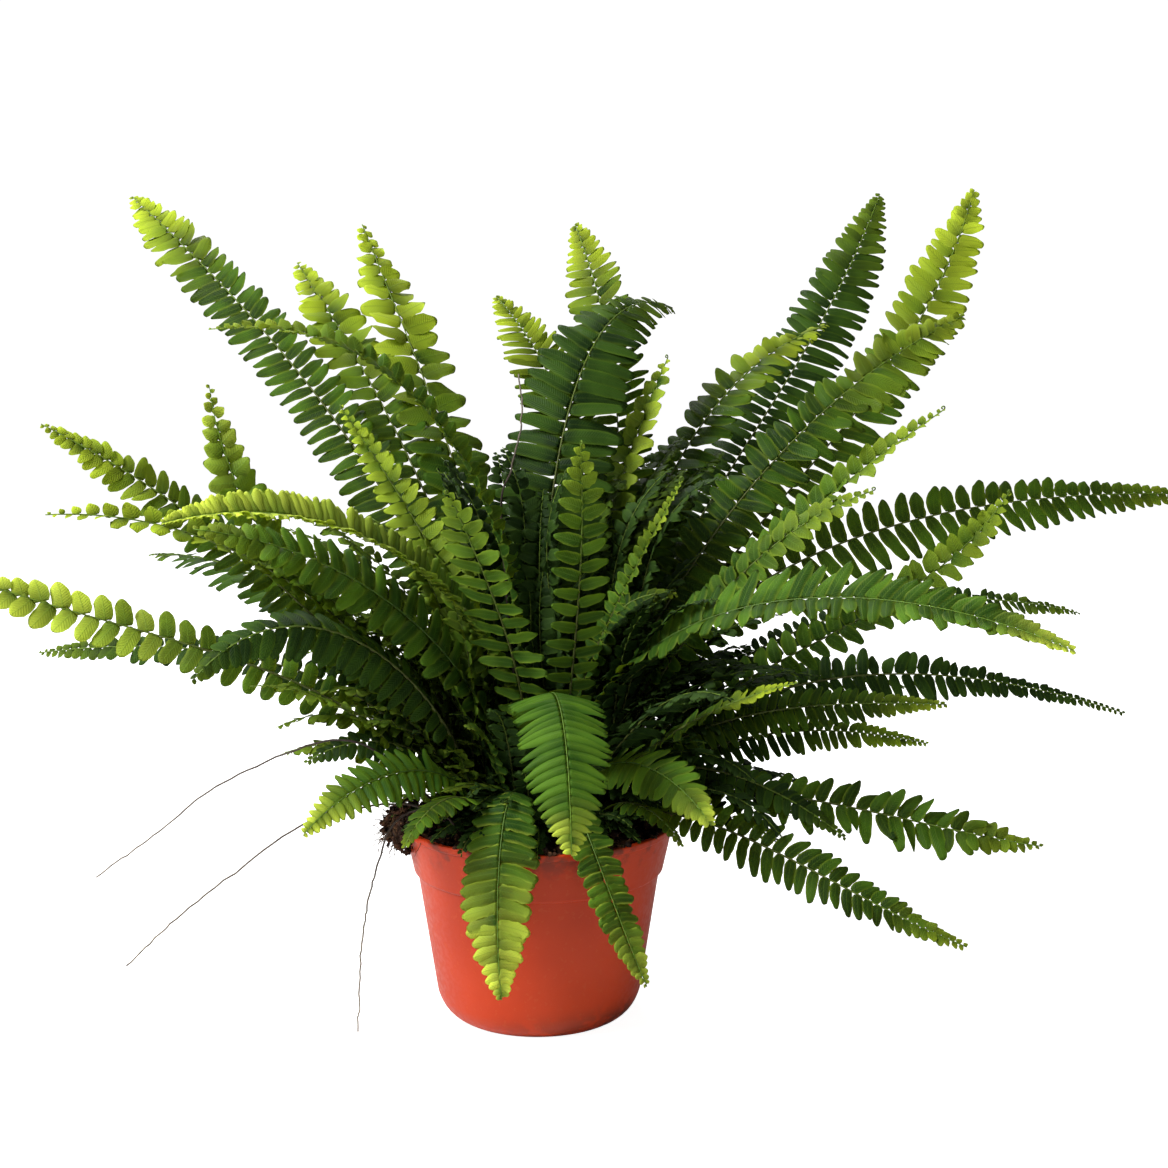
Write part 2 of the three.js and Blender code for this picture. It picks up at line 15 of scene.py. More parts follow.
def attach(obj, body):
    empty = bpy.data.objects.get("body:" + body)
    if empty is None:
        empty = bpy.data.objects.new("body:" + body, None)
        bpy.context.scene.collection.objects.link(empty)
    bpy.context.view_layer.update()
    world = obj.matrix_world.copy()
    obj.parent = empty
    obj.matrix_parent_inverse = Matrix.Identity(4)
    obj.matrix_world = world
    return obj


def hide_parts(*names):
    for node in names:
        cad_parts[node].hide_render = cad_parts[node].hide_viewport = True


MM = 0.001
DEG = math.pi / 180
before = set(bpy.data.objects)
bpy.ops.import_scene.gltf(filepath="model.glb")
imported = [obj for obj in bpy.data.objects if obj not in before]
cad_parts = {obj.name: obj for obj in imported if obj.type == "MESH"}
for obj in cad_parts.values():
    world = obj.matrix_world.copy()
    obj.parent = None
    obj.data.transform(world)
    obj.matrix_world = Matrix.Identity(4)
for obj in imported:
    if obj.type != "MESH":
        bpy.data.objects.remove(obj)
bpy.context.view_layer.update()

# %% [markdown]
# ## Camera
# The pot's rim and foot are circles, so how flat they look tells how far above them the camera stood. It is
# 29 cm above the floor and 75 cm in front of the pot, and looks down a little. A long lens keeps the near
# fronds from growing too large. The camera comes first, so that every later piece can be judged through it.

# %% Camera
PICTURE_SIDE = 1168  # pixels
FOCAL_PIXELS = 1745
SENSOR = 36  # mm
CAMERA_PLACE = (0.020, -0.750, 0.290)
CAMERA_DIP = 7.6  # degrees below level

scene = bpy.context.scene
shelf = scene.collection


def put(name, data):
    """A new object in the scene."""
    made = bpy.data.objects.new(name, data)
    shelf.objects.link(made)
    return made


camera = put("camera", bpy.data.cameras.new("camera"))
camera.data.sensor_width = SENSOR
camera.data.lens = SENSOR * FOCAL_PIXELS / PICTURE_SIDE
camera.location = CAMERA_PLACE
camera.rotation_euler = ((90 - CAMERA_DIP) * DEG, 0, 0)
scene.camera = camera
print("lens:", round(camera.data.lens, 1), "mm")

# %% [markdown]
# ## Light
# The picture has a white ground and a bright white surround, with one large soft light high on the left.
# Thin leaves glow where light comes through them. A white world gives the surround, and three wide area
# lights give the direction: the main one on the left, a weak one in front and one behind the plant. Hard
# lamps would throw leaf shadows that the picture doesn't have.

# %% Light
PLANT_MIDDLE = Vector((0.0, 0.0, 0.17))


def softbox(name, place, width, watts):
    light = put(name, bpy.data.lights.new(name, "AREA"))
    light.data.shape = "DISK"
    light.data.size = width
    light.data.energy = watts
    light.location = place
    light.rotation_euler = (PLANT_MIDDLE - Vector(place)).to_track_quat("-Z", "Y").to_euler()
    light.visible_camera = False


softbox("window_left", (-1.1, -0.55, 1.25), 0.8, 46)
softbox("fill_front", (0.9, -1.4, 0.9), 1.2, 4)
softbox("top_back", (-0.3, 1.2, 1.5), 1.0, 15)

# %% White surround
SEEN_WHITE = 1.05
CAST_WHITE = 0.165


def white_room():
    """A world that looks pure white, but lights the plant only a little, so that its depths stay dark."""
    world = bpy.data.worlds.new("white_room")
    world.use_nodes = True
    tree = world.node_tree
    path = tree.nodes.new("ShaderNodeLightPath")
    strength = tree.nodes.new("ShaderNodeMapRange")
    tree.links.new(path.outputs["Is Camera Ray"], strength.inputs["Value"])
    strength.inputs["To Min"].default_value = CAST_WHITE
    strength.inputs["To Max"].default_value = SEEN_WHITE
    tree.nodes["Background"].inputs["Color"].default_value = (1, 1, 1, 1)
    tree.links.new(strength.outputs[0], tree.nodes["Background"].inputs["Strength"])
    return world


scene.world = white_room()
scene.view_settings.view_transform = "Standard"
print("world:", scene.world.name, "view:", scene.view_settings.view_transform)

# %% [markdown]
# ## Building materials from nodes
# Every finish is made of shader nodes. A few small helpers keep that readable: one joins or sets the inputs
# of a node, one adds a node, one blends two colours, and one stretches a value into a mask.

# %% Node helpers
def feed(tree, made, inputs):
    """Sets inputs of a node. inputs maps a socket to a value, or to the output that feeds it."""
    for name, value in dict(inputs).items():
        if isinstance(value, bpy.types.NodeSocket):
            tree.links.new(value, made.inputs[name])
        else:
            made.inputs[name].default_value = value
    return made


def node(tree, kind, inputs=(), **settings):
    made = tree.nodes.new("ShaderNode" + kind)
    for name, value in settings.items():
        setattr(made, name, value)
    return feed(tree, made, inputs)


def blend(tree, share, first, second, mode="MIX"):
    """The colour between first and second."""
    mix = node(tree, "Mix", {0: share, 6: first, 7: second}, data_type="RGBA", blend_type=mode)
    return mix.outputs[2]


def mask(tree, value, low, high, to_low=0.0, to_high=1.0):
    """value stretched smoothly, so that low becomes to_low and high becomes to_high."""
    inputs = {0: value, 1: low, 2: high, 3: to_low, 4: to_high}
    return node(tree, "MapRange", inputs, interpolation_type="SMOOTHSTEP").outputs[0]


def reckon(tree, operation, first, second=0.0, third=0.0):
    return node(tree, "Math", {0: first, 1: second, 2: third}, operation=operation).outputs[0]


def bump(tree, height, strength, distance):
    """A normal that follows the height, and bends the light as if the surface rose by that distance."""
    inputs = {"Strength": strength, "Distance": distance, "Height": height}
    return node(tree, "Bump", inputs).outputs["Normal"]


# %% Group and material helpers
def shader_group(name, inputs, outputs):
    """An empty node group with named sockets. inputs maps a name to its kind and first value."""
    group = bpy.data.node_groups.new(name, "ShaderNodeTree")
    for socket, (kind, value) in inputs.items():
        made = group.interface.new_socket(socket, in_out="INPUT", socket_type="NodeSocket" + kind)
        made.default_value = value
    for socket, kind in outputs.items():
        group.interface.new_socket(socket, in_out="OUTPUT", socket_type="NodeSocket" + kind)
    return group, group.nodes.new("NodeGroupInput").outputs, group.nodes.new("NodeGroupOutput")


def place_group(tree, group, inputs):
    return node(tree, "Group", inputs, node_tree=group).outputs


def new_material(name):
    material = bpy.data.materials.new(name)
    material.use_nodes = True
    tree = material.node_tree
    return material, tree, tree.nodes["Principled BSDF"]


def place_on_object(tree):
    return node(tree, "TexCoord").outputs["Object"]


# %% [markdown]
# ## Mottle: one effect for every finish
# Nothing here is one even colour: leaves, peat and plastic all have blotches. The same node group makes
# them all, a noise stretched into a mask, and each material sets how large and how strong its blotches are.

# %% Mottle group
def make_mottle():
    inputs = {
        "Place": ("Vector", (0, 0, 0)),
        "Scale": ("Float", 60.0),
        "Detail": ("Float", 3.0),
        "Low": ("Float", 0.35),
        "High": ("Float", 0.65),
    }
    group, given, result = shader_group("mottle", inputs, {"Mask": "Float", "Height": "Float"})
    grain = {"Vector": given["Place"], "Scale": given["Scale"], "Detail": given["Detail"]}
    speckle = node(group, "TexNoise", grain).outputs["Fac"]
    feed(group, result, {"Mask": mask(group, speckle, given["Low"], given["High"]), "Height": speckle})
    return group


MOTTLE = make_mottle()


def mottle(tree, scale, low=0.35, high=0.65, detail=3.0):
    values = {"Place": place_on_object(tree), "Scale": scale, "Low": low, "High": high, "Detail": detail}
    return place_group(tree, MOTTLE, values)


print("group:", MOTTLE.name)

# %% [markdown]
# ## Leaf tissue
# A leaflet is dark and a little glossy above, with a paler midvein, paler thin edges and slanting side
# veins that show as faint ridges. The pale edges are partly their own tone and partly a painted glow, and
# painted shade darkens each leaflet near the rib, with painted light further out. Near the frond's tip the
# tissue is young, yellow-green and so thin that light comes through. A colour alone couldn't follow the
# veins, so the mesh carries four values at each point: how far across the leaflet, how far out from the
# rib, how yellow, and a random tint.

# %% Leaf tissue group
SIDE_VEIN_STEP = 1.25  # mm from one side vein to the next
SIDE_VEIN_SLANT = 2.2  # how far a side vein runs outwards on its way to the edge, in steps
SIDE_VEIN_SHARE = 0.16
MIDVEIN_SHARE = 0.35
TINT_SHARE = 0.58  # how much one leaflet's tint, a blotch and the distance from the rib each lighten, the last as painted shade and light
BLOTCH_SHARE = 0.5
RIB_SHADE_AND_LIGHT_SHARE = 0.3
GLOW_SHARE = 0.55  # how much yellower the light is that comes through
FIRST_GREEN = ("Color", (0.1, 0.2, 0.05, 1))
TISSUE_INPUTS = {
    "Place": ("Vector", (0, 0, 0)),
    "Across": ("Float", 0.0),
    "Outward": ("Float", 0.0),
    "Yellowing": ("Float", 0.0),
    "Tint": ("Float", 0.0),
    "Deep": FIRST_GREEN,
    "Light": FIRST_GREEN,
    "Tip": FIRST_GREEN,
    "Vein": FIRST_GREEN,
    "Edge": ("Float", 0.4),
    "Valley Shade": ("Float", 0.0),
}
TISSUE_OUTPUTS = {"Colour": "Color", "Glow": "Color", "Roughness": "Float", "Height": "Float"}


def leaf_colour(group, given, aside, blotch):
    """Dark to light by tint, blotch and painted shade by the rib, then yellow tip, pale edge with painted
    glow, and painted valley shade.
    """
    deep, light, tip = [given[name] for name in ("Deep", "Light", "Tip")]
    share = reckon(group, "MULTIPLY_ADD", given["Tint"], TINT_SHARE, 0.1)
    share = reckon(group, "ADD", share, reckon(group, "MULTIPLY", blotch, BLOTCH_SHARE))
    # Painted shade near the rib, and painted light further out along the leaflet.
    rib_shade_and_light = mask(group, given["Outward"], 1.0, 10.0, -RIB_SHADE_AND_LIGHT_SHARE, RIB_SHADE_AND_LIGHT_SHARE)
    tissue = blend(group, reckon(group, "ADD", share, rib_shade_and_light), deep, light)
    tissue = blend(group, given["Yellowing"], tissue, tip)
    # Pale edges: partly the thin margin's own tone, partly a painted glow.
    edge = mask(group, aside, 0.55, 1.0)
    pale_and_glow = reckon(group, "MULTIPLY", edge, given["Edge"])
    tissue = blend(group, pale_and_glow, tissue, blend(group, 0.5, light, tip))
    # Painted shade in the valleys between pleats: the edges darken to the deep green.
    return blend(group, reckon(group, "MULTIPLY", edge, given["Valley Shade"]), tissue, deep)


def side_veins(group, given, aside):
    """Ridges that slant outwards from the midvein and fade before the edge."""
    steps = reckon(group, "DIVIDE", given["Outward"], SIDE_VEIN_STEP)
    slanted = reckon(group, "SUBTRACT", steps, reckon(group, "MULTIPLY", aside, SIDE_VEIN_SLANT))
    ridge = reckon(group, "SINE", reckon(group, "MULTIPLY", slanted, 2 * math.pi))
    return reckon(group, "MULTIPLY", ridge, mask(group, aside, 1.0, 0.7))


def make_tissue():
    group, given, result = shader_group("leaf_tissue", TISSUE_INPUTS, TISSUE_OUTPUTS)
    aside = reckon(group, "ABSOLUTE", given["Across"])
    blotch = place_group(group, MOTTLE, {"Place": given["Place"], "Scale": 70.0, "Low": 0.3, "High": 0.7})
    tissue = leaf_colour(group, given, aside, blotch["Mask"])
    ridge = side_veins(group, given, aside)
    veined = blend(group, mask(group, ridge, 0.5, 1.0, 0.0, SIDE_VEIN_SHARE), tissue, given["Vein"])
    middle = mask(group, aside, 0.1, 0.03)
    veined = blend(group, reckon(group, "MULTIPLY", middle, MIDVEIN_SHARE), veined, given["Vein"])
    made = {
        "Colour": veined,
        "Glow": blend(group, GLOW_SHARE, veined, given["Tip"]),
        "Roughness": mask(group, blotch["Height"], 0.3, 0.7, 0.42, 0.62),
        "Height": reckon(group, "SUBTRACT", reckon(group, "MULTIPLY", ridge, 0.5), middle),
    }
    feed(group, result, made)
    return group


TISSUE = make_tissue()
print("group:", TISSUE.name, "sockets:", [s.name for s in TISSUE.interface.items_tree])

# %% [markdown]
# ## Leaf finishes
# The oldest fronds are a deep blue-green, the youngest are lime, and the undergrowth is painted nearly black
# with the shade it stands in. Seven materials from one recipe cover them. They differ in colours, in how much
# light comes through, in how pale the edges are, partly their own tone and partly a painted glow, and in
# whether painted shade darkens the valleys between pleats. The tissue is a mix of two shaders: one for what
# the surface reflects, and a translucent one for what comes through from behind.

# %% Leaf finishes
CARRIED = ("across", "outward", "yellowing", "tint")
LEAF_COLOURS = ("Deep", "Light", "Tip", "Vein")
LEAF_GLOSS = 0.09


def carried(tree, name):
    """A value that the mesh carries at each point."""
    return node(tree, "Attribute", attribute_name=name).outputs["Fac"]


def leaf_finish(name, colours, through, edge=0.4, valley_shade=0.0):
    """colours are those of LEAF_COLOURS, and through is the share of the light that comes through."""
    material, tree, surface = new_material(name)
    values = {"Place": place_on_object(tree), "Edge": edge, "Valley Shade": valley_shade}
    values |= {value.title(): carried(tree, value) for value in CARRIED}
    values |= {part: (*colour, 1) for part, colour in zip(LEAF_COLOURS, colours)}
    tissue = place_group(tree, TISSUE, values)
    normal = bump(tree, tissue["Height"], 0.35, 0.0003)
    skin = {"Base Color": tissue["Colour"], "Roughness": tissue["Roughness"], "Normal": normal}
    feed(tree, surface, skin | {"Specular IOR Level": LEAF_GLOSS})
    behind = node(tree, "BsdfTranslucent", {"Color": tissue["Glow"], "Normal": normal})
    both = node(tree, "MixShader", {0: through, 1: surface.outputs[0], 2: behind.outputs[0]})
    feed(tree, tree.nodes["Material Output"], {"Surface": both.outputs[0]})
    return material


OLD = [(0.010, 0.029, 0.006), (0.046, 0.106, 0.012), (0.36, 0.52, 0.025), (0.07, 0.12, 0.02)]
GROWN = [(0.012, 0.038, 0.006), (0.062, 0.150, 0.012), (0.66, 0.80, 0.05), (0.11, 0.19, 0.02)]
FRESH = [(0.018, 0.064, 0.008), (0.098, 0.222, 0.019), (0.82, 0.93, 0.11), (0.16, 0.28, 0.04)]
PLEATED = [(0.026, 0.090, 0.010), *FRESH[1:]]
YOUNG = [(0.030, 0.090, 0.010), (0.115, 0.235, 0.022), (0.62, 0.76, 0.06), (0.20, 0.34, 0.06)]
# The undergrowth's greens are darker copies that paint in the shade it stands in.
SHADE_PAINTED_GREENS = [(0.011, 0.030, 0.007), (0.038, 0.082, 0.015), (0.10, 0.18, 0.02), (0.05, 0.09, 0.02)]
LEAVES = {
    "old": leaf_finish("old_leaf", OLD, through=0.34, edge=0.2),
    "grown": leaf_finish("grown_leaf", GROWN, through=0.40, edge=0.25),
    "fresh": leaf_finish("fresh_leaf", FRESH, through=0.42, edge=0.25),
    "pleated": leaf_finish("pleated_leaf", PLEATED, through=0.40, edge=0.0, valley_shade=0.5),
    "frilled": leaf_finish("frilled_leaf", FRESH, through=0.42, edge=0.6),
    "young": leaf_finish("young_leaf", YOUNG, through=0.45),
    "shaded": leaf_finish("painted_shade_leaf", SHADE_PAINTED_GREENS, through=0.25),
}
print("leaf finishes:", list(LEAVES))

# %% [markdown]
# ## Stalks, wiry stems, peat and plastic
# A frond's stalk is dark brown where it leaves the crown and turns green along its length, which the value
# "reach" tells it. Runners are grey-brown and fade to straw at their ends. Peat is nearly black with a few
# pale fibres. The pot is thin injection-moulded plastic: even, faintly mottled, with a soft gloss.

# %% Stalks and stems
WOOD_GLOSS = 0.2


def wood_finish(name, foot, middle, end, roughness, fibre_scale):
    """Foot, middle and end colours along the reach that the mesh carries, with fine fibres."""
    material, tree, surface = new_material(name)
    reach = carried(tree, "reach")
    colour = blend(tree, mask(tree, reach, 0.0, 0.35), (*foot, 1), (*middle, 1))
    colour = blend(tree, mask(tree, reach, 0.45, 1.0), colour, (*end, 1))
    fibres = mottle(tree, fibre_scale, 0.4, 0.7)
    dark = blend(tree, 0.55, colour, (*foot, 1))
    skin = {"Base Color": blend(tree, fibres["Mask"], colour, dark), "Roughness": roughness}
    skin |= {"Specular IOR Level": WOOD_GLOSS, "Normal": bump(tree, fibres["Height"], 0.4, 0.0002)}
    feed(tree, surface, skin)
    return material


WOODS = {  # colours at the foot, in the middle and at the end, roughness, and how fine the fibres are
    "green_stalk": [(0.030, 0.016, 0.007), (0.075, 0.098, 0.018), (0.13, 0.22, 0.02), 0.55, 700],
    "soft_stalk": [(0.045, 0.050, 0.010), (0.075, 0.150, 0.018), (0.16, 0.29, 0.03), 0.5, 700],
    "straw_stalk": [(0.045, 0.026, 0.010), (0.13, 0.125, 0.035), (0.22, 0.30, 0.04), 0.55, 700],
    "wiry_stem": [(0.030, 0.018, 0.012), (0.055, 0.040, 0.032), (0.24, 0.20, 0.16), 0.7, 500],
    "scaly_crown": [(0.018, 0.009, 0.005), (0.050, 0.024, 0.011), (0.16, 0.08, 0.03), 0.8, 400],
}
STALK, SOFT_STALK, STRAW, WIRY, SCALY = [wood_finish(name, *row) for name, row in WOODS.items()]
print("stalks and stems:", list(WOODS))

# %% Peat
PEAT_BLACK = (0.008, 0.0045, 0.003, 1)
PEAT_BROWN = (0.055, 0.023, 0.012, 1)
PEAT_FIBRE = (0.16, 0.08, 0.035, 1)
PEAT_GLOSS = 0.15


def peat_finish():
    material, tree, surface = new_material("peat")
    clods = mottle(tree, 260.0, 0.4, 0.62, 6.0)
    specks = mottle(tree, 900.0, 0.60, 0.70, 2.0)
    colour = blend(tree, clods["Mask"], PEAT_BLACK, PEAT_BROWN)
    colour = blend(tree, specks["Mask"], colour, PEAT_FIBRE)
    skin = {"Base Color": colour, "Roughness": mask(tree, clods["Height"], 0.3, 0.7, 0.75, 1.0)}
    skin |= {"Specular IOR Level": PEAT_GLOSS, "Normal": bump(tree, clods["Height"], 0.9, 0.0012)}
    feed(tree, surface, skin)
    return material


PEAT = peat_finish()
print("soil finish:", PEAT.name)

# %% Plastic
POT_RED = (0.47, 0.034, 0.004, 1)
POT_PALE_RED = (0.58, 0.050, 0.007, 1)
SCUFF = (0.58, 0.11, 0.035, 1)
DIRT_AND_SHADE_BROWN = (0.05, 0.022, 0.012, 1)
SCUFF_SHARE = 0.22
DIRT_AND_SHADE_SHARE = 0.75
PLASTIC_GLOSS = 0.26
FOOT_DIRT_AND_SHADE = (0.016, 0.002)  # m above the floor where the dirt and painted shade on the foot start, and are at their full
FOOT_DIRT_AND_SHADE_SIDE = (-0.03, 0.04)  # m to the right of the axis, in the same way
RIM_SPLASH = (0.070, 0.088)  # m above the floor, for the dirt below the rim


def plastic_finish():
    material, tree, surface = new_material("terracotta_plastic")
    cloud = mottle(tree, 14.0, 0.3, 0.7, 4.0)
    scuffs = mottle(tree, 420.0, 0.58, 0.7, 2.0)
    colour = blend(tree, cloud["Mask"], POT_RED, POT_PALE_RED)
    colour = blend(tree, reckon(tree, "MULTIPLY", scuffs["Mask"], SCUFF_SHARE), colour, SCUFF)
    place = node(tree, "SeparateXYZ", {0: place_on_object(tree)}).outputs
    splash = mottle(tree, 130.0, 0.5, 0.66, 5.0)
    # Darker at the foot on the right: partly soil dirt, partly painted shade.
    foot = mask(tree, place["Z"], *FOOT_DIRT_AND_SHADE)
    foot = reckon(tree, "MULTIPLY", foot, mask(tree, place["X"], *FOOT_DIRT_AND_SHADE_SIDE))
    low = reckon(tree, "MULTIPLY", foot, mask(tree, splash["Height"], 0.35, 0.55))
    high = reckon(tree, "MULTIPLY", mask(tree, place["Z"], *RIM_SPLASH), splash["Mask"])
    dirt_and_foot_shade = reckon(tree, "MULTIPLY", reckon(tree, "MAXIMUM", low, high), DIRT_AND_SHADE_SHARE)
    skin = {"Base Color": blend(tree, dirt_and_foot_shade, colour, DIRT_AND_SHADE_BROWN), "Specular IOR Level": PLASTIC_GLOSS}
    skin |= {"Roughness": mask(tree, scuffs["Height"], 0.3, 0.7, 0.34, 0.5)}
    feed(tree, surface, skin | {"Normal": bump(tree, cloud["Height"], 0.12, 0.0004)})
    return material


PLASTIC = plastic_finish()
print("pot finish:", PLASTIC.name)

# %% [markdown]
# ## Growing meshes from arrays
# The plant has thousands of leaflets, so modelling them one by one, or copying objects, would be slow. Here
# each piece gathers its points and faces as number arrays and becomes one mesh at the end. Every part that
# goes in is closed, so the finished piece is a set of closed shells.

# %% A piece that gathers its parts
VALUES = ("across", "outward", "reach", "yellowing", "tint")
grown_pieces = []


class Growth:
    """Gathers closed parts, with their finishes and values, until they become one piece."""

    def __init__(self):
        self.points = []
        self.faces = []
        self.finish = []
        self.values = []
        self.count = 0

    def add(self, points, faces, finish=0, **values):
        """points is N x 3 in millimetres, and each value is one number or N of them."""
        self.points.append(points)
        self.faces += [[i + self.count for i in face] for face in faces]
        self.finish += [finish] * len(faces)
        table = [np.broadcast_to(values.get(name, 0.0), len(points)) for name in VALUES]
        self.values.append(np.stack(table, 1))
        self.count += len(points)

    def mesh(self, name):
        made = bpy.data.meshes.new(name)
        made.from_pydata((np.concatenate(self.points) * MM).tolist(), [], self.faces)
        return made

    def piece(self, name, nodes, materials, sharp=None):
        """The finished piece, which stands for those nodes. sharp picks the points of its sharp edges."""
        mesh = self.mesh(name)
        values = np.concatenate(self.values).astype(np.float32)
        for k, value in enumerate(VALUES):
            layer = mesh.attributes.new(value, "FLOAT", "POINT")
            layer.data.foreach_set("value", np.ascontiguousarray(values[:, k]))
        for material in materials:
            mesh.materials.append(material)
        mesh.polygons.foreach_set("material_index", np.array(self.finish, np.int32))
        mesh.shade_smooth()
        if sharp is not None:
            ends = np.zeros(len(mesh.edges) * 2, np.int32)
            mesh.edges.foreach_get("vertices", ends)
            rim = sharp(values)[ends.reshape(-1, 2)].all(1)
            layer = mesh.attributes.get("sharp_edge") or mesh.attributes.new("sharp_edge", "BOOLEAN", "EDGE")
            layer.data.foreach_set("value", rim)
        made = put(name, mesh)
        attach(made, "root")
        if nodes:
            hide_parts(*nodes)
        grown_pieces.append(made)
        return made


print("values at each point:", VALUES)

# %% Directions and tubes
def unit(rows):
    return rows / np.linalg.norm(rows, axis=-1, keepdims=True)


def ray(angle):
    """The level direction at that angle in radians."""
    return np.array([math.cos(angle), math.sin(angle), 0])


def ring_faces(rings, sides):
    """Quads between rings of points, and a flat face on each end."""
    faces = []
    for k in range(rings - 1):
        for i in range(sides):
            j = (i + 1) % sides
            faces.append([k * sides + i, k * sides + j, (k + 1) * sides + j, (k + 1) * sides + i])
    last = (rings - 1) * sides
    return [list(range(sides))[::-1], *faces, list(range(last, last + sides))]


def tube(line, radius, sides, side, face, flat=1.0):
    """A closed tube along a line, with its side and face directions at each point."""
    radius = np.broadcast_to(radius, len(line))[:, None, None]
    angle = np.arange(sides) * 2 * math.pi / sides
    round_ = side[:, None] * np.cos(angle)[:, None] + flat * face[:, None] * np.sin(angle)[:, None]
    points = line[:, None] + radius * round_
    return points.reshape(-1, 3), ring_faces(len(line), sides)


def free_tube(line, radius, sides):
    """A closed tube along a line that has no side of its own."""
    line = np.asarray(line, float)
    along = unit(np.gradient(line, axis=0))
    guide = np.eye(3)[np.argmin(np.abs(line[-1] - line[0]))]
    side = unit(np.cross(along, guide))
    return tube(line, radius, sides, side, np.cross(along, side))


print("faces of a short tube with six sides:", len(ring_faces(2, 6)))

# %% [markdown]
# ## The table of fronds
# The solid model holds each frond as one row of numbers, and this is the same table, in millimetres and
# degrees. A frond's line is one smooth curve that leaves the crown steeply and arches over to its tip.
# Repeating the table, and not reading the solids' meshes, is what lets the fine leaflets sit exactly on the
# same lines.

# %% Fronds of the solid model
# Azimuth (0 right, 90 back, 180 left, 270 front), stand (0 axis, 1 root ring), reach and height of the tip,
# slope at the root and at the tip, sweep of the middle to its left, half width, roll, fold of the leaflets,
# and the stretch before the tip over which they shrink, in half widths. Two rows have one more value, the
# power of the curve along which they shrink.
FRONDS = [
    # back left
    [140, 0.5, 282, 370, 72, 32, 0, 18, -42, 4, 3],
    [126, 0.45, 222, 336, 70, 36, 0, 18, -25, 8, 4],
    [118, 0.55, 205, 356, 76, 50, -6, 21, 0, 6, 5],
    [106, 0.65, 75, 315, 88, 44, -38, 18, 0, 5, 3.2],
    [158, 0.3, 96, 265, 84, 52, 0, 14, -50, 15, 7],
    [168, 0.65, 150, 275, 48, 84, 0, 13, -50, 12, 5],
    # back right
    [82, 0.5, 112, 351, 84, 60, -38, 17, -15, 0, 3],
    [60, 0.05, 126, 311, 86, -12, 8, 26, 28, 0, 5],
    [47, 0.35, 86, 287, 84, 58, 2, 12, 0, 10, 8],
    [52, 0.6, 298, 376, 60, 56, 0, 21, 30, 0, 4],
    [38, 0.6, 282, 373, 60, 70, 0, 19, 42, 0, 3.5],
    [24, 0.45, 220, 307, 66, 22, 0, 22, 40, 0, 3],
    [42, 0.85, 189, 303, 80, 14, 9, 16, 15, 6, 5],
    # left
    [184, 0.35, 138, 299, 102, -8, 0, 11, -20, 40, 6],
    [186, 0.8, 207, 260, 58, 28, 0, 12, -50, 0, 5],
    [195, 0.72, 203, 225, 66, -2, 0, 9, -40, 35, 6],
    [212, 0.1, 166, 225, 86, -12, 0, 15, -25, 30, 4],
    [204, 0.3, 148, 220, 78, 8, 0, 17, -50, 0, 5],
    [190, 1.0, 231, 196, 62, 22, 0, 15, -60, 0, 4],
    [176, 0.95, 223, 157, 64, -8, 0, 9, -40, 10, 6],
    [212, 0.8, 156, 163, 78, -46, 0, 18, -50, -15, 4],
    [200, 0.9, 103, 119, 78, -32, 0, 11, -40, 0, 5],
    [222, 0.9, 122, 101, 72, -40, 0, 17, -20, 0, 3.5],
    [238, 1.0, 96, 96, 66, -50, 0, 11, 0, 0, 4],
    # front
    [261, 0.85, 82, 33, 78, -92, -5, 18, 0, -5, 3],
    [277, 0.2, 126, 106, 82, -86, 0, 21, 0, -8, 2.5],
    [308, 0.75, 113, 107, 76, -40, 0, 16, 0, 0, 3],
    [298, 0.92, 96, 40, 76, -70, -12, 12, 0, 0, 3.5],
    [236, 0.6, 52, 136, 66, 0, 0, 9, -30, 0, 4],
    [60, -0.3, -68, 235, 94, 116, -8, 15, 0, 5, 5],
    [115, -0.6, -44, 253, 100, 82, 0, 13, 0, 5, 5],
    [330, 0.2, 70, 238, 80, 60, 0, 9, 60, 35, 6],
    [348, 0.35, 61, 187, 82, -8, 0, 12, 40, 0, 4],
    [320, 0.75, 134, 163, 52, 18, 0, 9, 30, 15, 5],
    # right
    [353, 0.5, 171, 266, 66, 36, 0, 11, 35, 35, 6],
    [348, 0.6, 143, 233, 62, 20, 0, 12, 40, 10, 5],
    [22, 0.6, 359, 218, 68, -3, 0, 18, 55, 0, 10],
    [3, 0.85, 206, 229, 61, 59, 0, 12, 50, 20, 5],
    [328, 0.35, 234, 182, 80, -19, 0, 19, 30, 20, 7],
    [16, 0.9, 267, 166, 61, -15, 0, 8, 40, 0, 8],
    [8, 1.0, 271, 125, 55, -19, 0, 14, 55, 0, 7, 0.5],
    [350, 0.8, 175, 143, 61, 0, 0, 12, 55, 0, 8],
    [359, 1.0, 170, 120, 50, -13, 0, 11, 50, 0, 8],
    [344, 1.0, 215, 90, 30, -5, -4, 13, 50, 10, 3.5, 1],
    [334, 0.9, 191, 56, 26, -22, -18, 13, 45, 10, 8],
    [338, 0.68, 138, 91, 56, -36, 0, 9, 40, 0, 6],
    [315, 1.0, 85, 90, 62, -50, 0, 10, 0, 0, 5],
    # low at the back
    [150, 0.95, 225, 190, 52, -6, 0, 19, 0, 0, 4],
    [128, 0.9, 200, 120, 50, -30, 0, 18, 0, 0, 4],
    [106, 0.9, 235, 205, 58, 0, 0, 20, 0, 0, 4],
    [84, 0.95, 205, 130, 50, -26, 0, 19, 0, 0, 4],
    [66, 0.9, 230, 215, 56, 0, 0, 20, 0, 0, 4],
    [29, 1.0, 205, 125, 48, -26, 0, 18, 0, 0, 4],
]
print("fronds:", len(FRONDS))

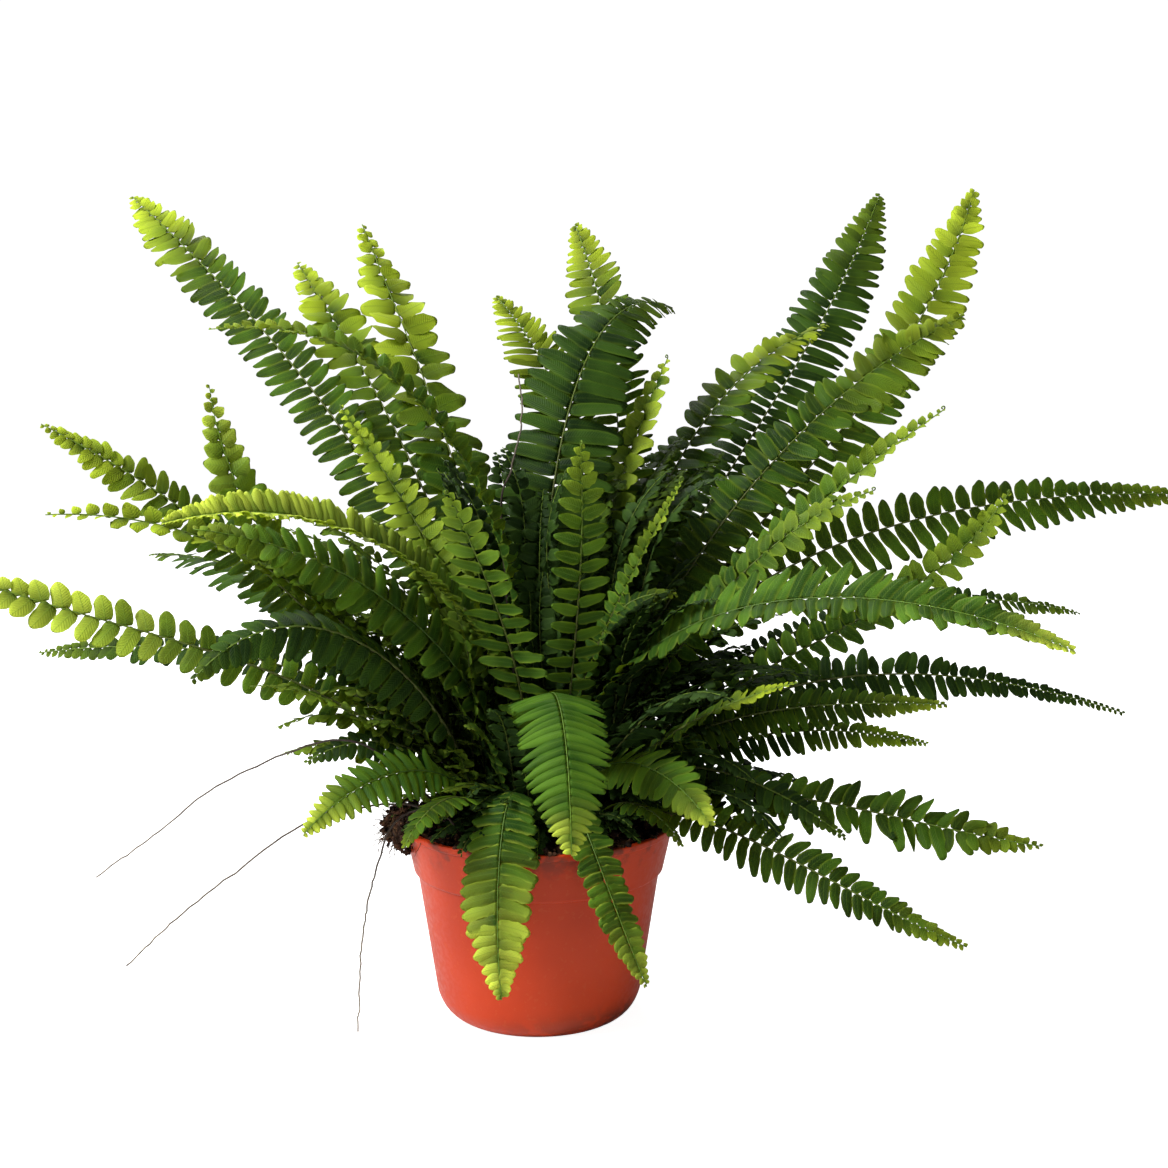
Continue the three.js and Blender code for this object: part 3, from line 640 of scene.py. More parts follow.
# %% Where a frond stands
ROOT_RING = 36  # mm from the axis, for a stand of 1
CROWN_RADIUS = 25
CROWN_TOP = 99
STAND_SINK = 1.5  # mm below the crown's top, on the axis
STAND_DROP = 6  # mm more at the crown's edge
RIM_RADIUS = 60
SOIL_EDGE = 84  # mm high at the pot's wall
SOIL_RISE = 9  # mm more in the middle


def soil_height(x, y):
    share = np.minimum(1, np.hypot(x, y) / RIM_RADIUS)
    lumps = 1.1 * np.sin(x * 0.21 + 1) * np.cos(y * 0.17) + 0.7 * np.sin(x * 0.11 - y * 0.23)
    return SOIL_EDGE + SOIL_RISE * (1 - share * share) + lumps * (1 - share**6)


def stand_of(azimuth, ring):
    x = ring * ROOT_RING * math.cos(azimuth * DEG)
    y = ring * ROOT_RING * math.sin(azimuth * DEG)
    share = math.hypot(x, y) / CROWN_RADIUS
    z = CROWN_TOP - STAND_SINK - STAND_DROP * share**2 if share < 1 else soil_height(x, y)
    return np.array([x, y, z])


def slope(azimuth, rise):
    level = math.cos(rise * DEG)
    return np.array([math.cos(azimuth * DEG) * level, math.sin(azimuth * DEG) * level, math.sin(rise * DEG)])


def arc_pull(turn):
    """Share of the chord that a Bezier handle takes, so that a line which turns by this much stays round."""
    bend = max(0.5, abs(turn))
    return (2 / 3) * math.tan(bend / 4) / math.sin(bend / 2)


print("first frond stands at", stand_of(*FRONDS[0][:2]).round(1), "mm")

# %% A frond's line
BARE = 28  # mm of stalk without leaflets on the solids, or on short ones
BARE_SHARE = 0.16  # this share of the length
ROLL_IN = 0.35  # the share of the length over which the blade rolls
TIP_CURVE = 1.9  # a little more pointed than the solids
SAMPLES = 201


class Frond:
    """The line and the blade of one frond, worked out from its row of the table."""

    def __init__(self, row, number):
        azimuth, ring, reach, height, launch, arrive, sweep, half_width, roll, fold, taper, *curve = row
        self.number, self.azimuth, self.half_width = number, azimuth, half_width
        self.roll, self.fold, self.taper = roll, fold, taper
        self.curve = curve[0] if curve else TIP_CURVE
        root = stand_of(azimuth, ring)
        tip = ray(azimuth * DEG) * reach + [0, 0, height]
        pull = np.linalg.norm(tip - root) * arc_pull((launch - arrive) * DEG)
        aside = np.array([-math.sin(azimuth * DEG), math.cos(azimuth * DEG), 0]) * sweep
        first = root + slope(azimuth, launch) * pull + aside
        second = tip - slope(azimuth, arrive) * pull + aside
        self.out = unit(first - root)
        self.corners = [root, first, second, tip]
        self.shares = np.linspace(0, 1, SAMPLES)
        line = self.at(self.shares)
        steps = np.linalg.norm(np.diff(line, axis=0), axis=1)
        self.miles = np.concatenate([[0], np.cumsum(steps)])
        self.length = self.miles[-1]
        self.bare = min(BARE_SHARE, BARE / self.length)

    def at(self, t):
        t = np.asarray(t)[:, None]
        a, b, c, d = self.corners
        return a * (1 - t) ** 3 + 3 * b * t * (1 - t) ** 2 + 3 * c * t**2 * (1 - t) + d * t**3

    def frame(self, u):
        """Place, direction along, side to the left and upper face at shares u of the length."""
        u = np.asarray(u, float)
        t = np.interp(u * self.length, self.miles, self.shares)
        a, b, c, d = self.corners
        s = t[:, None]
        along = unit((b - a) * (1 - s) ** 2 + 2 * (c - b) * s * (1 - s) + (d - c) * s**2)
        level = np.array([-math.sin(self.azimuth * DEG), math.cos(self.azimuth * DEG), 0])
        side = unit(level - along * (along @ level)[:, None])
        turn = (self.roll * DEG * np.minimum(1, u / ROLL_IN))[:, None]
        side = side * np.cos(turn) + np.cross(along, side) * np.sin(turn)
        return self.at(t), along, side, np.cross(along, side)


fronds = [Frond(row, index + 1) for index, row in enumerate(FRONDS)]
TAPERS = {9: 3.5, 19: 2.2, 30: 3.2, 31: 3.2}  # where the fine leaflets shrink closer to the tip
ROLLS = {23: -42, 27: 30}  # where the fine blade faces the front more
for number, taper in TAPERS.items():
    fronds[number - 1].taper = taper
for number, roll in ROLLS.items():
    fronds[number - 1].roll = roll
print("length in all:", round(sum(f.length for f in fronds) / 1000, 1), "m")

# %% [markdown]
# ## One leaflet
# A leaflet is oblong with a blunt end, narrower where it joins the rib, with a small ear on the side of the
# frond's tip. It bends a little like a sickle, droops, and its edges ripple. A flat card with a leaf picture
# would look wrong from the side, so each one is a thin lens: a grid for the upper face and another for the
# lower face, joined at the edge. The midvein is a groove in the grid.

# %% The grid of a leaflet
class LeafGrid:
    """Points over a leaflet. across runs from -1 to 1 between its edges, and out from 0 at the rib to 1."""

    def __init__(self, rows, columns):
        self.rows = len(rows)
        self.wide = len(columns)
        self.across, self.out = [grid.ravel() for grid in np.meshgrid(columns, rows)]
        self.edge = (np.abs(self.across) == 1) | (self.out == 0) | (self.out == 1)
        self.inner = np.flatnonzero(~self.edge)
        self.faces = self.both_faces()

    def both_faces(self):
        """Quads of the upper grid, and of the lower one, whose edge points are the upper grid's."""
        lower = np.arange(len(self.out))
        lower[self.inner] = len(self.out) + np.arange(len(self.inner))
        upper_faces = []
        lower_faces = []
        for r in range(self.rows - 1):
            for c in range(self.wide - 1):
                i = r * self.wide + c
                quad = [i, i + self.wide, i + self.wide + 1, i + 1]
                upper_faces.append(quad)
                lower_faces.append([int(lower[k]) for k in quad[::-1]])
        return upper_faces + lower_faces


FINE_LEAF = LeafGrid([0.0, 0.08, 0.22, 0.4, 0.58, 0.76, 0.9, 1.0], [-1, -0.68, -0.34, 0, 0.34, 0.68, 1])
PLAIN_LEAF = LeafGrid([0.0, 0.12, 0.32, 0.56, 0.8, 0.94, 1.0], [-1, -0.6, 0, 0.6, 1])
SMALL_LEAF = LeafGrid([0.0, 0.25, 0.7, 1.0], [-1, 0, 1])
print("faces in a leaflet:", [len(grid.faces) for grid in (FINE_LEAF, PLAIN_LEAF, SMALL_LEAF)])

# %% The shape of a leaflet
BLUNT = 0.75  # how far the corners of the end stay back, in half widths
EAR = 0.25
THICK = 0.36  # mm at the midvein
GROOVE = 0.22  # mm deep at the midvein
TEETH_WAVES = 19
RIPPLE_WAVES = 9
SICKLE_DRAW = 0.07  # how far the draw for each leaflet changes its sickle, droop, cup and twist
DROOP_DRAW = 0.14
CUP_DRAW = 0.07
TWIST_DRAW = 0.3
DARK_FOOT = 1.6  # how much darker the tint of a frond's lowest leaflets is: older tissue, and painted shade near the crown
GREEN_FOOT = 0.25  # a leaflet's foot turns this much as yellow as its end
GREEN_DRAW = 0.15


def column(values):
    return values[:, None]


def outline(grid, habit):
    """Half width at each grid point, as a share of the greatest."""
    foot = habit["foot"] + (1 - habit["foot"]) * np.clip(grid.out / 0.22, 0, 1) ** 0.7
    end = 1 - (1 - habit["end"]) * np.clip((grid.out - habit["narrows"]) / (1 - habit["narrows"]), 0, 1) ** 2
    ear = 1 + EAR * np.exp(-(((grid.out - 0.1) / 0.1) ** 2)) * (grid.across > 0)
    return foot * end * ear


def leaflet_points(grid, spots, habit, rng):
    """Points of all the leaflets of one side. spots gives base, way, ahead, up, length and width of each."""
    base, way, ahead, up, length, width = spots
    length = length[:, None]
    width = width[:, None]
    across, out = grid.across[None], grid.out[None]
    shape = outline(grid, habit)[None]
    wild = habit["wild"]
    drawn = rng.uniform(-1, 1, (6, len(base), 1))
    x = length * out - BLUNT * width / 2 * shape * out**4 * across**2
    teeth = 1 + habit["teeth"] * np.sin(out * TEETH_WAVES + 3 * drawn[1]) * (np.abs(across) == 1)
    y = width / 2 * across * shape * teeth + (habit["sickle"] + SICKLE_DRAW * drawn[0]) * length * out**2
    droop = (habit["droop"] + DROOP_DRAW * wild * drawn[2]) * length * out**2
    cup = (habit["cup"] + CUP_DRAW * wild * drawn[3]) * across**2 * shape
    ripple = habit["ripple"] * np.sin(out * RIPPLE_WAVES + 4 * drawn[4] + across) * across**2
    twist = TWIST_DRAW * wild * drawn[5] * out * across
    z = width * (cup + ripple / 2 + twist / 2) - droop - GROOVE * np.exp(-((across / 0.2) ** 2)) * (1 - out)
    middle = base[:, None] + way[:, None] * x[..., None] + ahead[:, None] * y[..., None]
    middle = middle + up[:, None] * z[..., None]
    middle[..., 2] -= habit["sag"] * length * out**2 * np.hypot(way[:, 0], way[:, 1])[:, None]
    lens = THICK / 2 * np.sqrt(1 - across**2) * (1 - 0.5 * out) * ~grid.edge
    upper = middle + up[:, None] * lens[..., None]
    lower = (middle - up[:, None] * lens[..., None])[:, grid.inner]
    return np.concatenate([upper, lower], 1), x


def add_leaflets(growth, grid, spots, habit, rng, reach, yellowing):
    points, x = leaflet_points(grid, spots, habit, rng)
    count, per = points.shape[:2]
    _, way, ahead, up, _, _ = spots
    turned_over = np.cross(way[0], ahead[0]) @ up[0] > 0
    faces = [face[::-1] for face in grid.faces] if turned_over else grid.faces
    out = np.concatenate([grid.out, grid.out[grid.inner]])
    greener = GREEN_FOOT + (1 - GREEN_FOOT) * out + GREEN_DRAW * rng.normal(0, 1, (count, 1))
    drawn = rng.uniform(-0.9, 0.9, count) + rng.uniform(-0.3, 0.3)
    growth.add(
        points.reshape(-1, 3),
        [[i + k * per for i in face] for k in range(count) for face in faces],
        across=np.tile(np.concatenate([grid.across, grid.across[grid.inner]]), count),
        outward=np.concatenate([x, x[:, grid.inner]], 1).ravel(),
        reach=np.repeat(reach, per),
        yellowing=np.clip(column(yellowing) * greener, 0, 1).ravel(),
        # The lowest leaflets' darker tint is partly older tissue, partly painted shade near the crown.
        tint=np.repeat(np.clip(drawn - DARK_FOOT * (1 - reach) ** 2, -1, 1), per),
    )


print("points in a leaflet:", len(FINE_LEAF.out) + len(FINE_LEAF.inner))

# %% [markdown]
# ## Habit: how each frond carries its leaflets
# Fronds differ by age more than by size. Old ones hold neat blunt leaflets with gaps between them. Fresh
# ones may be pleated or frilled, edge to edge. Young ones have short wavy leaflets on a dark rib. A few
# numbers for each age, and for each frond its own spacing, width, unruliness and yellow tip, give that
# variety without modelling any frond by hand.

# %% Ages
HABIT_NAMES = ("sickle", "teeth", "droop", "cup", "ripple", "sag", "lean", "foot", "end", "narrows")
HABITS = {  # lean is a share of the usual; foot and end are shares of the width; then where the end begins
    "old": (0.06, 0.03, 0.10, -0.05, 0.06, 0.16, 1.0, 0.52, 0.56, 0.50),
    "grown": (0.10, 0.04, 0.07, -0.04, 0.09, 0.16, 1.0, 0.55, 0.48, 0.45),
    "fresh": (0.10, 0.05, 0.06, -0.12, 0.10, 0.10, 1.0, 0.78, 0.46, 0.50),
    "pleated": (0.10, 0.06, 0.10, -0.26, 0.08, 0.08, 0.3, 0.95, 0.36, 0.32),
    "round": (0.04, 0.03, 0.05, -0.05, 0.06, 0.10, 1.0, 0.68, 0.74, 0.60),
    "frilled": (0.06, 0.10, 0.06, -0.20, 0.20, 0.05, 0.3, 0.95, 0.80, 0.70),
    "young": (0.10, 0.06, 0.10, 0.06, 0.15, 0.16, 1.0, 0.55, 0.40, 0.40),
}
LEAF_AGE = {"round": "fresh"}  # the finish of the others is their own
print("ages:", list(HABITS))

# %% Each frond's own look
# Number: age, spacing and width of its leaflets against the usual, unruliness, span and strength of the
# yellow tip.
LOOKS = {
    1: ["grown", 1.04, 0.94, 1.0, 0.24, 1.0],
    2: ["grown", 1.35, 0.92, 1.3, 0.42, 1.0],
    3: ["grown", 1.60, 0.98, 1.2, 0.52, 1.0],
    4: ["grown", 0.62, 0.76, 0.8, 0.30, 1.0],
    5: ["young", 1.15, 0.84, 1.1, 0.85, 1.0],
    6: ["fresh", 1.50, 1.00, 1.5, 0.30, 0.7],
    7: ["grown", 0.86, 0.78, 0.9, 0.24, 1.0],
    8: ["old", 0.90, 1.02, 0.9, 0.25, 0.5],
    9: ["young", 1.60, 0.88, 1.0, 0.60, 0.9],
    10: ["old", 0.90, 0.94, 0.8, 0.22, 0.5],
    11: ["grown", 1.15, 0.84, 1.2, 0.36, 1.0],
    12: ["grown", 0.92, 1.06, 1.8, 0.36, 0.5],
    13: ["grown", 1.10, 1.00, 1.4, 0.34, 0.9],
    14: ["fresh", 1.20, 0.92, 1.1, 0.30, 0.4],
    15: ["grown", 1.00, 0.84, 1.2, 0.34, 0.9],
    16: ["grown", 1.70, 0.78, 1.1, 0.50, 0.9],
    17: ["frilled", 0.48, 1.40, 0.6, 0.66, 1.0],
    18: ["fresh", 1.20, 0.86, 1.2, 0.20, 0.3],
    19: ["round", 1.50, 0.72, 0.8, 0.48, 1.0],
    20: ["old", 1.00, 0.84, 1.1, 0.25, 0.5],
    21: ["old", 1.05, 0.84, 0.8, 0.12, 0.3],
    22: ["old", 0.90, 0.84, 1.0, 0.12, 0.3],
    23: ["pleated", 0.76, 1.04, 0.8, 0.34, 1.0],
    24: ["grown", 0.90, 0.86, 1.0, 0.15, 0.3],
    25: ["frilled", 0.76, 1.16, 0.9, 0.60, 1.0],
    26: ["pleated", 0.64, 1.08, 0.5, 0.14, 1.0],
    27: ["fresh", 0.84, 0.98, 0.8, 0.26, 1.0],
    28: ["frilled", 0.72, 1.10, 0.9, 0.30, 0.6],
    29: ["fresh", 0.90, 0.90, 1.0, 0.15, 0.3],
    30: ["young", 1.35, 0.66, 0.8, 0.34, 0.35],
    31: ["young", 1.30, 0.64, 0.7, 0.24, 0.6],
    32: ["young", 0.90, 0.90, 1.2, 0.40, 0.6],
    33: ["grown", 0.95, 0.90, 0.8, 0.14, 0.4],
    34: ["grown", 0.90, 0.90, 1.2, 0.40, 0.9],
    35: ["young", 1.30, 0.90, 1.2, 0.35, 0.7],
    36: ["young", 1.20, 0.90, 1.2, 0.40, 0.6],
    37: ["grown", 1.37, 0.84, 0.45, 0.18, 0.6],
    38: ["young", 1.30, 0.90, 1.2, 0.40, 0.7],
    39: ["fresh", 0.90, 1.05, 0.8, 0.14, 0.9],
    40: ["old", 0.85, 0.80, 1.3, 0.25, 0.5],
    41: ["old", 0.96, 0.94, 1.2, 0.15, 0.3],
    42: ["grown", 0.84, 0.86, 0.8, 0.25, 0.6],
    43: ["old", 0.78, 0.84, 0.9, 0.50, 1.0],
    44: ["grown", 1.00, 0.95, 2.2, 0.25, 0.4],
    45: ["grown", 0.95, 0.90, 1.2, 0.25, 0.5],
    46: ["old", 0.85, 0.84, 1.0, 0.20, 0.3],
    47: ["grown", 0.85, 0.90, 1.0, 0.20, 0.4],
}
HIDDEN_LOOK = ["old", 1.00, 0.86, 1.0, 0.14, 0.4]
SHORT = {  # length of the leaflets against the half width of the solid's blade, where it isn't the same
    1: 0.90, 12: 0.80, 14: 0.75, 17: 0.85, 19: 0.80, 21: 0.85, 23: 0.80, 25: 0.88, 26: 0.88, 27: 0.90,
    28: 0.82, 30: 1.15, 31: 1.02, 32: 0.75, 33: 0.85, 34: 0.75,
}


def look_of(number):
    age, spacing, spread, wild, span, strength = LOOKS.get(number, HIDDEN_LOOK)
    own = {"age": age, "spacing": spacing, "spread": spread, "wild": wild, "span": span, "strength": strength}
    return dict(zip(HABIT_NAMES, HABITS[age])) | own | {"short": SHORT.get(number, 1.0)}


print("ages:", {age: sum(look_of(f.number)["age"] == age for f in fronds) for age in HABITS})

# %% [markdown]
# ## Setting the leaflets along the rib
# Leaflets stand in two rows that are half a step apart. They start small just above the soil, and at the tip
# they crowd, lean forwards and shrink. All the leaflets of one row are worked out together.

# %% Spacing along the rib
PITCH = 4.1  # mm from one leaflet to the next on the same side, to which comes
PITCH_SHARE = 0.12  # this share of the half width
TIP_PITCH = 0.45  # of the leaflets at the very tip, against the usual
STAGGER = 0.5
BARE_LEFT = 0.35  # the part of the solid's bare stalk that is truly bare
LEAN = 7  # degrees that a leaflet leans towards the tip
LEAN_MORE = 26  # degrees more at the tip itself
FOOT_LENGTH = 0.5  # length of the lowest leaflets against the full one
FOOT_GROWTH = 1.6
FOOT_LEAST = 0.3
TIP_LEAST = 0.12
TIP_WIDEN = 0.35
STEM_HALF = 0.9  # mm, half the thickness of the stalk at its root
RIB_HALF = 0.27  # and of the rib at its tip


def length_left(frond, u):
    """The share of their length that the leaflets have left, on their way to the tip."""
    left = (1 - u) * frond.length / (frond.taper * frond.half_width)
    return 1 - (1 - TIP_LEAST) * (1 - np.clip(left, 0, 1)) ** frond.curve


def leaflet_length(frond, u):
    t = (u - frond.bare) / (1 - frond.bare)
    return frond.half_width * np.clip(FOOT_LENGTH + FOOT_GROWTH * t, FOOT_LEAST, 1) * length_left(frond, u)


def stations(frond, hand, spacing):
    """Where the leaflets of one side stand, and the step there. They crowd where they are short."""
    u = np.linspace(frond.bare * BARE_LEFT, 1, SAMPLES)
    usual = (PITCH + PITCH_SHARE * frond.half_width) * spacing
    step = usual * (TIP_PITCH + (1 - TIP_PITCH) * length_left(frond, u))
    passed = np.concatenate([[0], np.cumsum(np.diff(u) * frond.length / step[1:])])
    spots = np.arange(0.3 + (STAGGER if hand < 0 else 0), passed[-1] - 0.1)
    return np.interp(spots, passed, u), np.interp(spots, passed, step)


def rib_half(u):
    return STEM_HALF + (RIB_HALF - STEM_HALF) * u**0.5


print("usual spacing on a frond of half width 20 mm:", round(PITCH + PITCH_SHARE * 20, 1), "mm")

# %% Rows of leaflets
RISE_DRAW = 8  # degrees, for how far the draw for each leaflet changes its rise, lean and tilt
LEAN_DRAW = 6
TILT_DRAW = 9
LENGTH_DRAW = 0.07
WIDEST = 0.9  # of a leaflet's own length


def leaflet_axes(frame_at, hand, rise, lean, tilt):
    """The way out from the rib, the direction ahead across the leaflet, and its upper side."""
    _, along, side, face = frame_at
    level = column(np.cos(rise) * np.cos(lean))
    way = hand * side * level + face * column(np.sin(rise) * np.cos(lean)) + along * column(np.sin(lean))
    up = face * column(np.cos(rise)) - hand * side * column(np.sin(rise))
    up = unit(up - way * np.sum(up * way, 1, keepdims=True))
    up = up * column(np.cos(tilt)) + np.cross(way, up) * column(np.sin(tilt))
    ahead = np.cross(up, way)
    return way, ahead * np.sign(np.sum(ahead * along, 1, keepdims=True)), up


def row_of_leaflets(frond, hand, look, rng):
    u, step = stations(frond, hand, look["spacing"])
    drawn = rng.uniform(-1, 1, (4, len(u)))
    rise = (frond.fold + RISE_DRAW * look["wild"] * drawn[0]) * DEG
    lean = (look["lean"] * (LEAN + LEAN_MORE * u * u) + LEAN_DRAW * look["wild"] * drawn[1]) * DEG
    tilt = TILT_DRAW * look["wild"] * DEG * drawn[2]
    frame_at = frond.frame(u)
    way, ahead, up = leaflet_axes(frame_at, hand, rise, lean, tilt)
    base = frame_at[0] + hand * frame_at[2] * column(rib_half(u) * 0.4)
    length = leaflet_length(frond, u) * look["short"] * (1 + LENGTH_DRAW * look["wild"] * drawn[3])
    width = np.minimum(step * (look["spread"] + TIP_WIDEN * u**4), length * WIDEST)
    return (base, way, ahead, up, length, width), u


def yellowing_of(look, u):
    rise = np.clip((u - (1 - look["span"])) / look["span"], 0, 1)
    return look["strength"] * rise * rise * (3 - 2 * rise)


print("leaflets on the first frond:", 2 * len(stations(fronds[0], 1, look_of(1)["spacing"])[0]))

# %% Growing one frond
STEM_DEPTH = 8  # mm that a stalk goes on under the surface it rises from
RIB_SIDES = 6
RIB_STEP = 5  # mm
CURL_TURNS = 0.9
CURL_RADIUS = 1.0  # mm


def curled_tip(frond):
    """A young frond's end is still rolled up, like the head of a violin."""
    at, along, side, face = frond.frame([1.0])
    angle = np.linspace(0, CURL_TURNS * 2 * math.pi, 12)[1:, None]
    radius = CURL_RADIUS * (1 - 0.6 * angle / angle[-1])
    middle = at + face * CURL_RADIUS
    line = middle + radius * (np.sin(angle) * along - np.cos(angle) * face)
    onward = unit(np.cos(angle) * along + np.sin(angle) * face)
    still = np.repeat(side, len(angle), 0)
    return line, still, np.cross(onward, still)


def grow_rib(growth, frond, curled, thin=1.0):
    u = np.linspace(0, 1, max(8, round(frond.length / RIB_STEP)))
    at, along, side, face = frond.frame(u)
    half = rib_half(u) * thin
    line = at - face * (0.3 * half)[:, None]
    buried = line[:1] - frond.out * STEM_DEPTH
    parts = [[buried, line], [side[:1], side], [face[:1], face], [half[:1], half]]
    if curled:
        curl, curl_side, curl_face = curled_tip(frond)
        for part, more in zip(parts, (curl, curl_side, curl_face, np.full(len(curl), half[-1] * 1.1))):
            part.append(more)
    line, side, face, half = [np.concatenate(part) for part in parts]
    reach = np.clip((np.arange(len(line)) - 1) / (len(u) - 1), 0, 1)
    points, quads = tube(line, half, RIB_SIDES, side, face)
    growth.add(points, quads, finish=1, reach=np.repeat(reach, RIB_SIDES))


# %% Leaflets on the rib
def thin_edge(values):
    """The rim of a leaflet, where its two faces meet."""
    return np.abs(values[:, VALUES.index("across")]) > 0.99


SOFT_AGES = ("fresh", "pleated", "frilled")  # their ribs are green and thin
THIN_RIB = 0.6
PLAIN_WIDTH = 12  # fronds up to this half width, and those low at the back, have plain leaflets


def grow_frond(frond):
    look = look_of(frond.number)
    grid = PLAIN_LEAF if frond.half_width <= PLAIN_WIDTH or frond.number not in LOOKS else FINE_LEAF
    rng = np.random.default_rng(100 + frond.number)
    growth = Growth()
    age = look["age"]
    soft = age in SOFT_AGES
    grow_rib(growth, frond, age == "young", thin=THIN_RIB if soft else 1.0)
    for hand in (1, -1):
        spots, u = row_of_leaflets(frond, hand, look, rng)
        add_leaflets(growth, grid, spots, look, rng, reach=u, yellowing=yellowing_of(look, u))
    name = f"frond_{frond.number:02d}"
    finishes = [LEAVES[LEAF_AGE.get(age, age)], SOFT_STALK if soft else STALK]
    return growth.piece("fine_" + name, [name], finishes, thin_edge)


leafy_pieces = [grow_frond(frond) for frond in fronds]
print("leaf faces:", sum(len(o.data.polygons) for o in leafy_pieces))

# %% [markdown]
# ## Undergrowth
# Between the tall stalks a fern is full of short fronds. Most of them never reach the light, and most of
# them get a finish painted nearly black with that shade.
# They hide the bare stalks and close the view through the plant. Drawing them by a seeded rule, with
# coarser leaflets, costs little and fills the depth that a few dozen modelled fronds can't.

# %% Small fronds between the stalks
TURN = 137.5  # degrees from one to the next, as leaves stand on a stem
THICKET_WILD = 1.4
THICKET_YELLOW = 0.15
STEEPEST = 88  # degrees
THICKETS = {  # finish, how many, between which azimuths, and the range of reach, height and half width
    "around": ("shaded", 76, (0, 360), (18, 66), (100, 150), (7, 11)),
    "right": ("shaded", 66, (-50, 42), (44, 125), (84, 190), (9, 14)),
    "right_middle": ("shaded", 22, (-30, 40), (46, 90), (136, 184), (10, 14)),
    "left": ("fresh", 40, (146, 206), (50, 125), (115, 218), (8, 13)),
    "left_high": ("grown", 14, (160, 200), (70, 128), (176, 224), (10, 13)),
    "left_front": ("grown", 14, (196, 240), (36, 76), (94, 128), (8, 12)),
    "rim": ("shaded", 36, (192, 344), (52, 68), (85, 98), (7, 10)),
    "behind": ("shaded", 38, (10, 170), (8, 88), (140, 250), (9, 14)),
    "back_right": ("old", 22, (34, 64), (56, 150), (175, 268), (12, 17)),
}


def small_frond(k, rng, azimuths, reaches, heights, widths):
    azimuth = azimuths[0] + k * TURN % (azimuths[1] - azimuths[0])
    reach = rng.uniform(*reaches)
    height = rng.uniform(*heights)
    rise = math.atan2(height - CROWN_TOP, reach) / DEG
    launch = min(STEEPEST, rise + rng.uniform(15, 32))
    arrive = rise - rng.uniform(15, 50)
    ring = rng.uniform(0.2, 0.95)
    half_width, fold = rng.uniform(*widths), rng.uniform(0, 20)
    return Frond([azimuth, ring, reach, height, launch, arrive, 0, half_width, 0, fold, 4], k)


def grow_thicket(name, finish, count, *ranges):
    rng = np.random.default_rng(count)
    look = look_of(0) | {"wild": THICKET_WILD}
    growth = Growth()
    for k in range(count):
        frond = small_frond(k, rng, *ranges)
        grow_rib(growth, frond, False, thin=THIN_RIB)
        for hand in (1, -1):
            spots, u = row_of_leaflets(frond, hand, look, rng)
            add_leaflets(growth, SMALL_LEAF, spots, look, rng, reach=u, yellowing=THICKET_YELLOW * u)
    return growth.piece("undergrowth_" + name, [], [LEAVES[finish], STALK], thin_edge)


thickets = [grow_thicket(name, *ranges) for name, ranges in THICKETS.items()]
print("undergrowth faces:", [len(o.data.polygons) for o in thickets])

# %% [markdown]
# ## Runners and the dry stem
# Three wiry runners trail out of the pot, and one bare dry stem still stands among the fronds. They are
# as thin as wire, so a tapered tube along a smooth line is all they need. The line passes through given
# points, the same as in the solid model.

# %% Runners
RUNNERS = {
    "runner_long": [
        [-36, -19, 85], [-52, -32, 110], [-80, -45, 131],
        [-126, -46, 115], [-156, -48, 93], [-182, -50, 74],
    ],
    "runner_middle": [
        [-33, -25, 85], [-48, -39, 101], [-70, -46, 103],
        [-98, -48, 95], [-140, -65, 66], [-164, -75, 45],
    ],
    "runner_hanging": [
        [-29, -32, 85], [-42, -50, 103], [-57, -61, 100],
        [-65, -69, 78], [-69, -76, 55], [-70, -85, 21],
    ],
    "dry_stem": [
        [-5, 9, 97], [-12, 9, 160], [-16, 8, 222],
        [-12, 8, 238], [-7, 10, 260], [-8, 10, 280],
    ],
}
RUNNER_STEPS = 12  # for each stretch between two points
RUNNER_HALF = 0.56
RUNNER_END_HALF = 0.34


def smooth_line(points, steps):
    """A line through the points, with each stretch a cubic that leaves as the last one came."""
    p = np.asarray(points, float)
    p = np.vstack([2 * p[0] - p[1], p, 2 * p[-1] - p[-2]])
    t = np.linspace(0, 1, steps, endpoint=False)[:, None]
    line = []
    for a, b, c, d in zip(p, p[1:], p[2:], p[3:]):
        line.append(b + 0.5 * t * (c - a + t * (2 * a - 5 * b + 4 * c - d + t * (3 * (b - c) + d - a))))
    return np.vstack([*line, p[-2]])


def grow_runner(name, points):
    start = np.array(points[0], float)
    way = unit(np.array(points[1], float) - start)
    line = smooth_line([start - way * STEM_DEPTH, *points], RUNNER_STEPS)
    rng = np.random.default_rng(len(name))
    line[2:] += rng.normal(0, 0.18, (len(line) - 2, 3))
    reach = np.linspace(0, 1, len(line))
    radius = RUNNER_HALF + (RUNNER_END_HALF - RUNNER_HALF) * reach
    growth = Growth()
    tube_points, quads = free_tube(line, radius, RIB_SIDES)
    growth.add(tube_points, quads, reach=np.repeat(reach, RIB_SIDES))
    return growth.piece("fine_" + name, [name], [WIRY])


for name, points in RUNNERS.items():
    grow_runner(name, points)
print("runners:", list(RUNNERS))

# %% [markdown]
# ## Crown
# Under the fronds sits the crown: a dense cushion of old stem bases with papery brown scales. Only glimpses
# of it show between the stalks. A low dome carries short stubs and narrow scales, placed by a seeded draw.

# %% Crown
STUBS = 60
SCALES = 320
DOME_SINK = 2  # mm that the dome stays below the solid crown
DOME_EDGE = 92
DOME_SKIRT = (82, 86)  # mm high: the two level rings under the dome's edge
DOME_BUMP = 1.6
DOME_SIDES = 48
DOME_RINGS = 14


def dome_height(share):
    return CROWN_TOP - DOME_SINK - (CROWN_TOP - DOME_EDGE) * share**2


def draw_spot(rng):
    """An angle, a share of the radius and the spot there on the dome."""
    angle, share = rng.uniform(0, 2 * math.pi), math.sqrt(rng.uniform(0, 1))
    return angle, share, ray(angle) * CROWN_RADIUS * share + [0, 0, dome_height(share)]


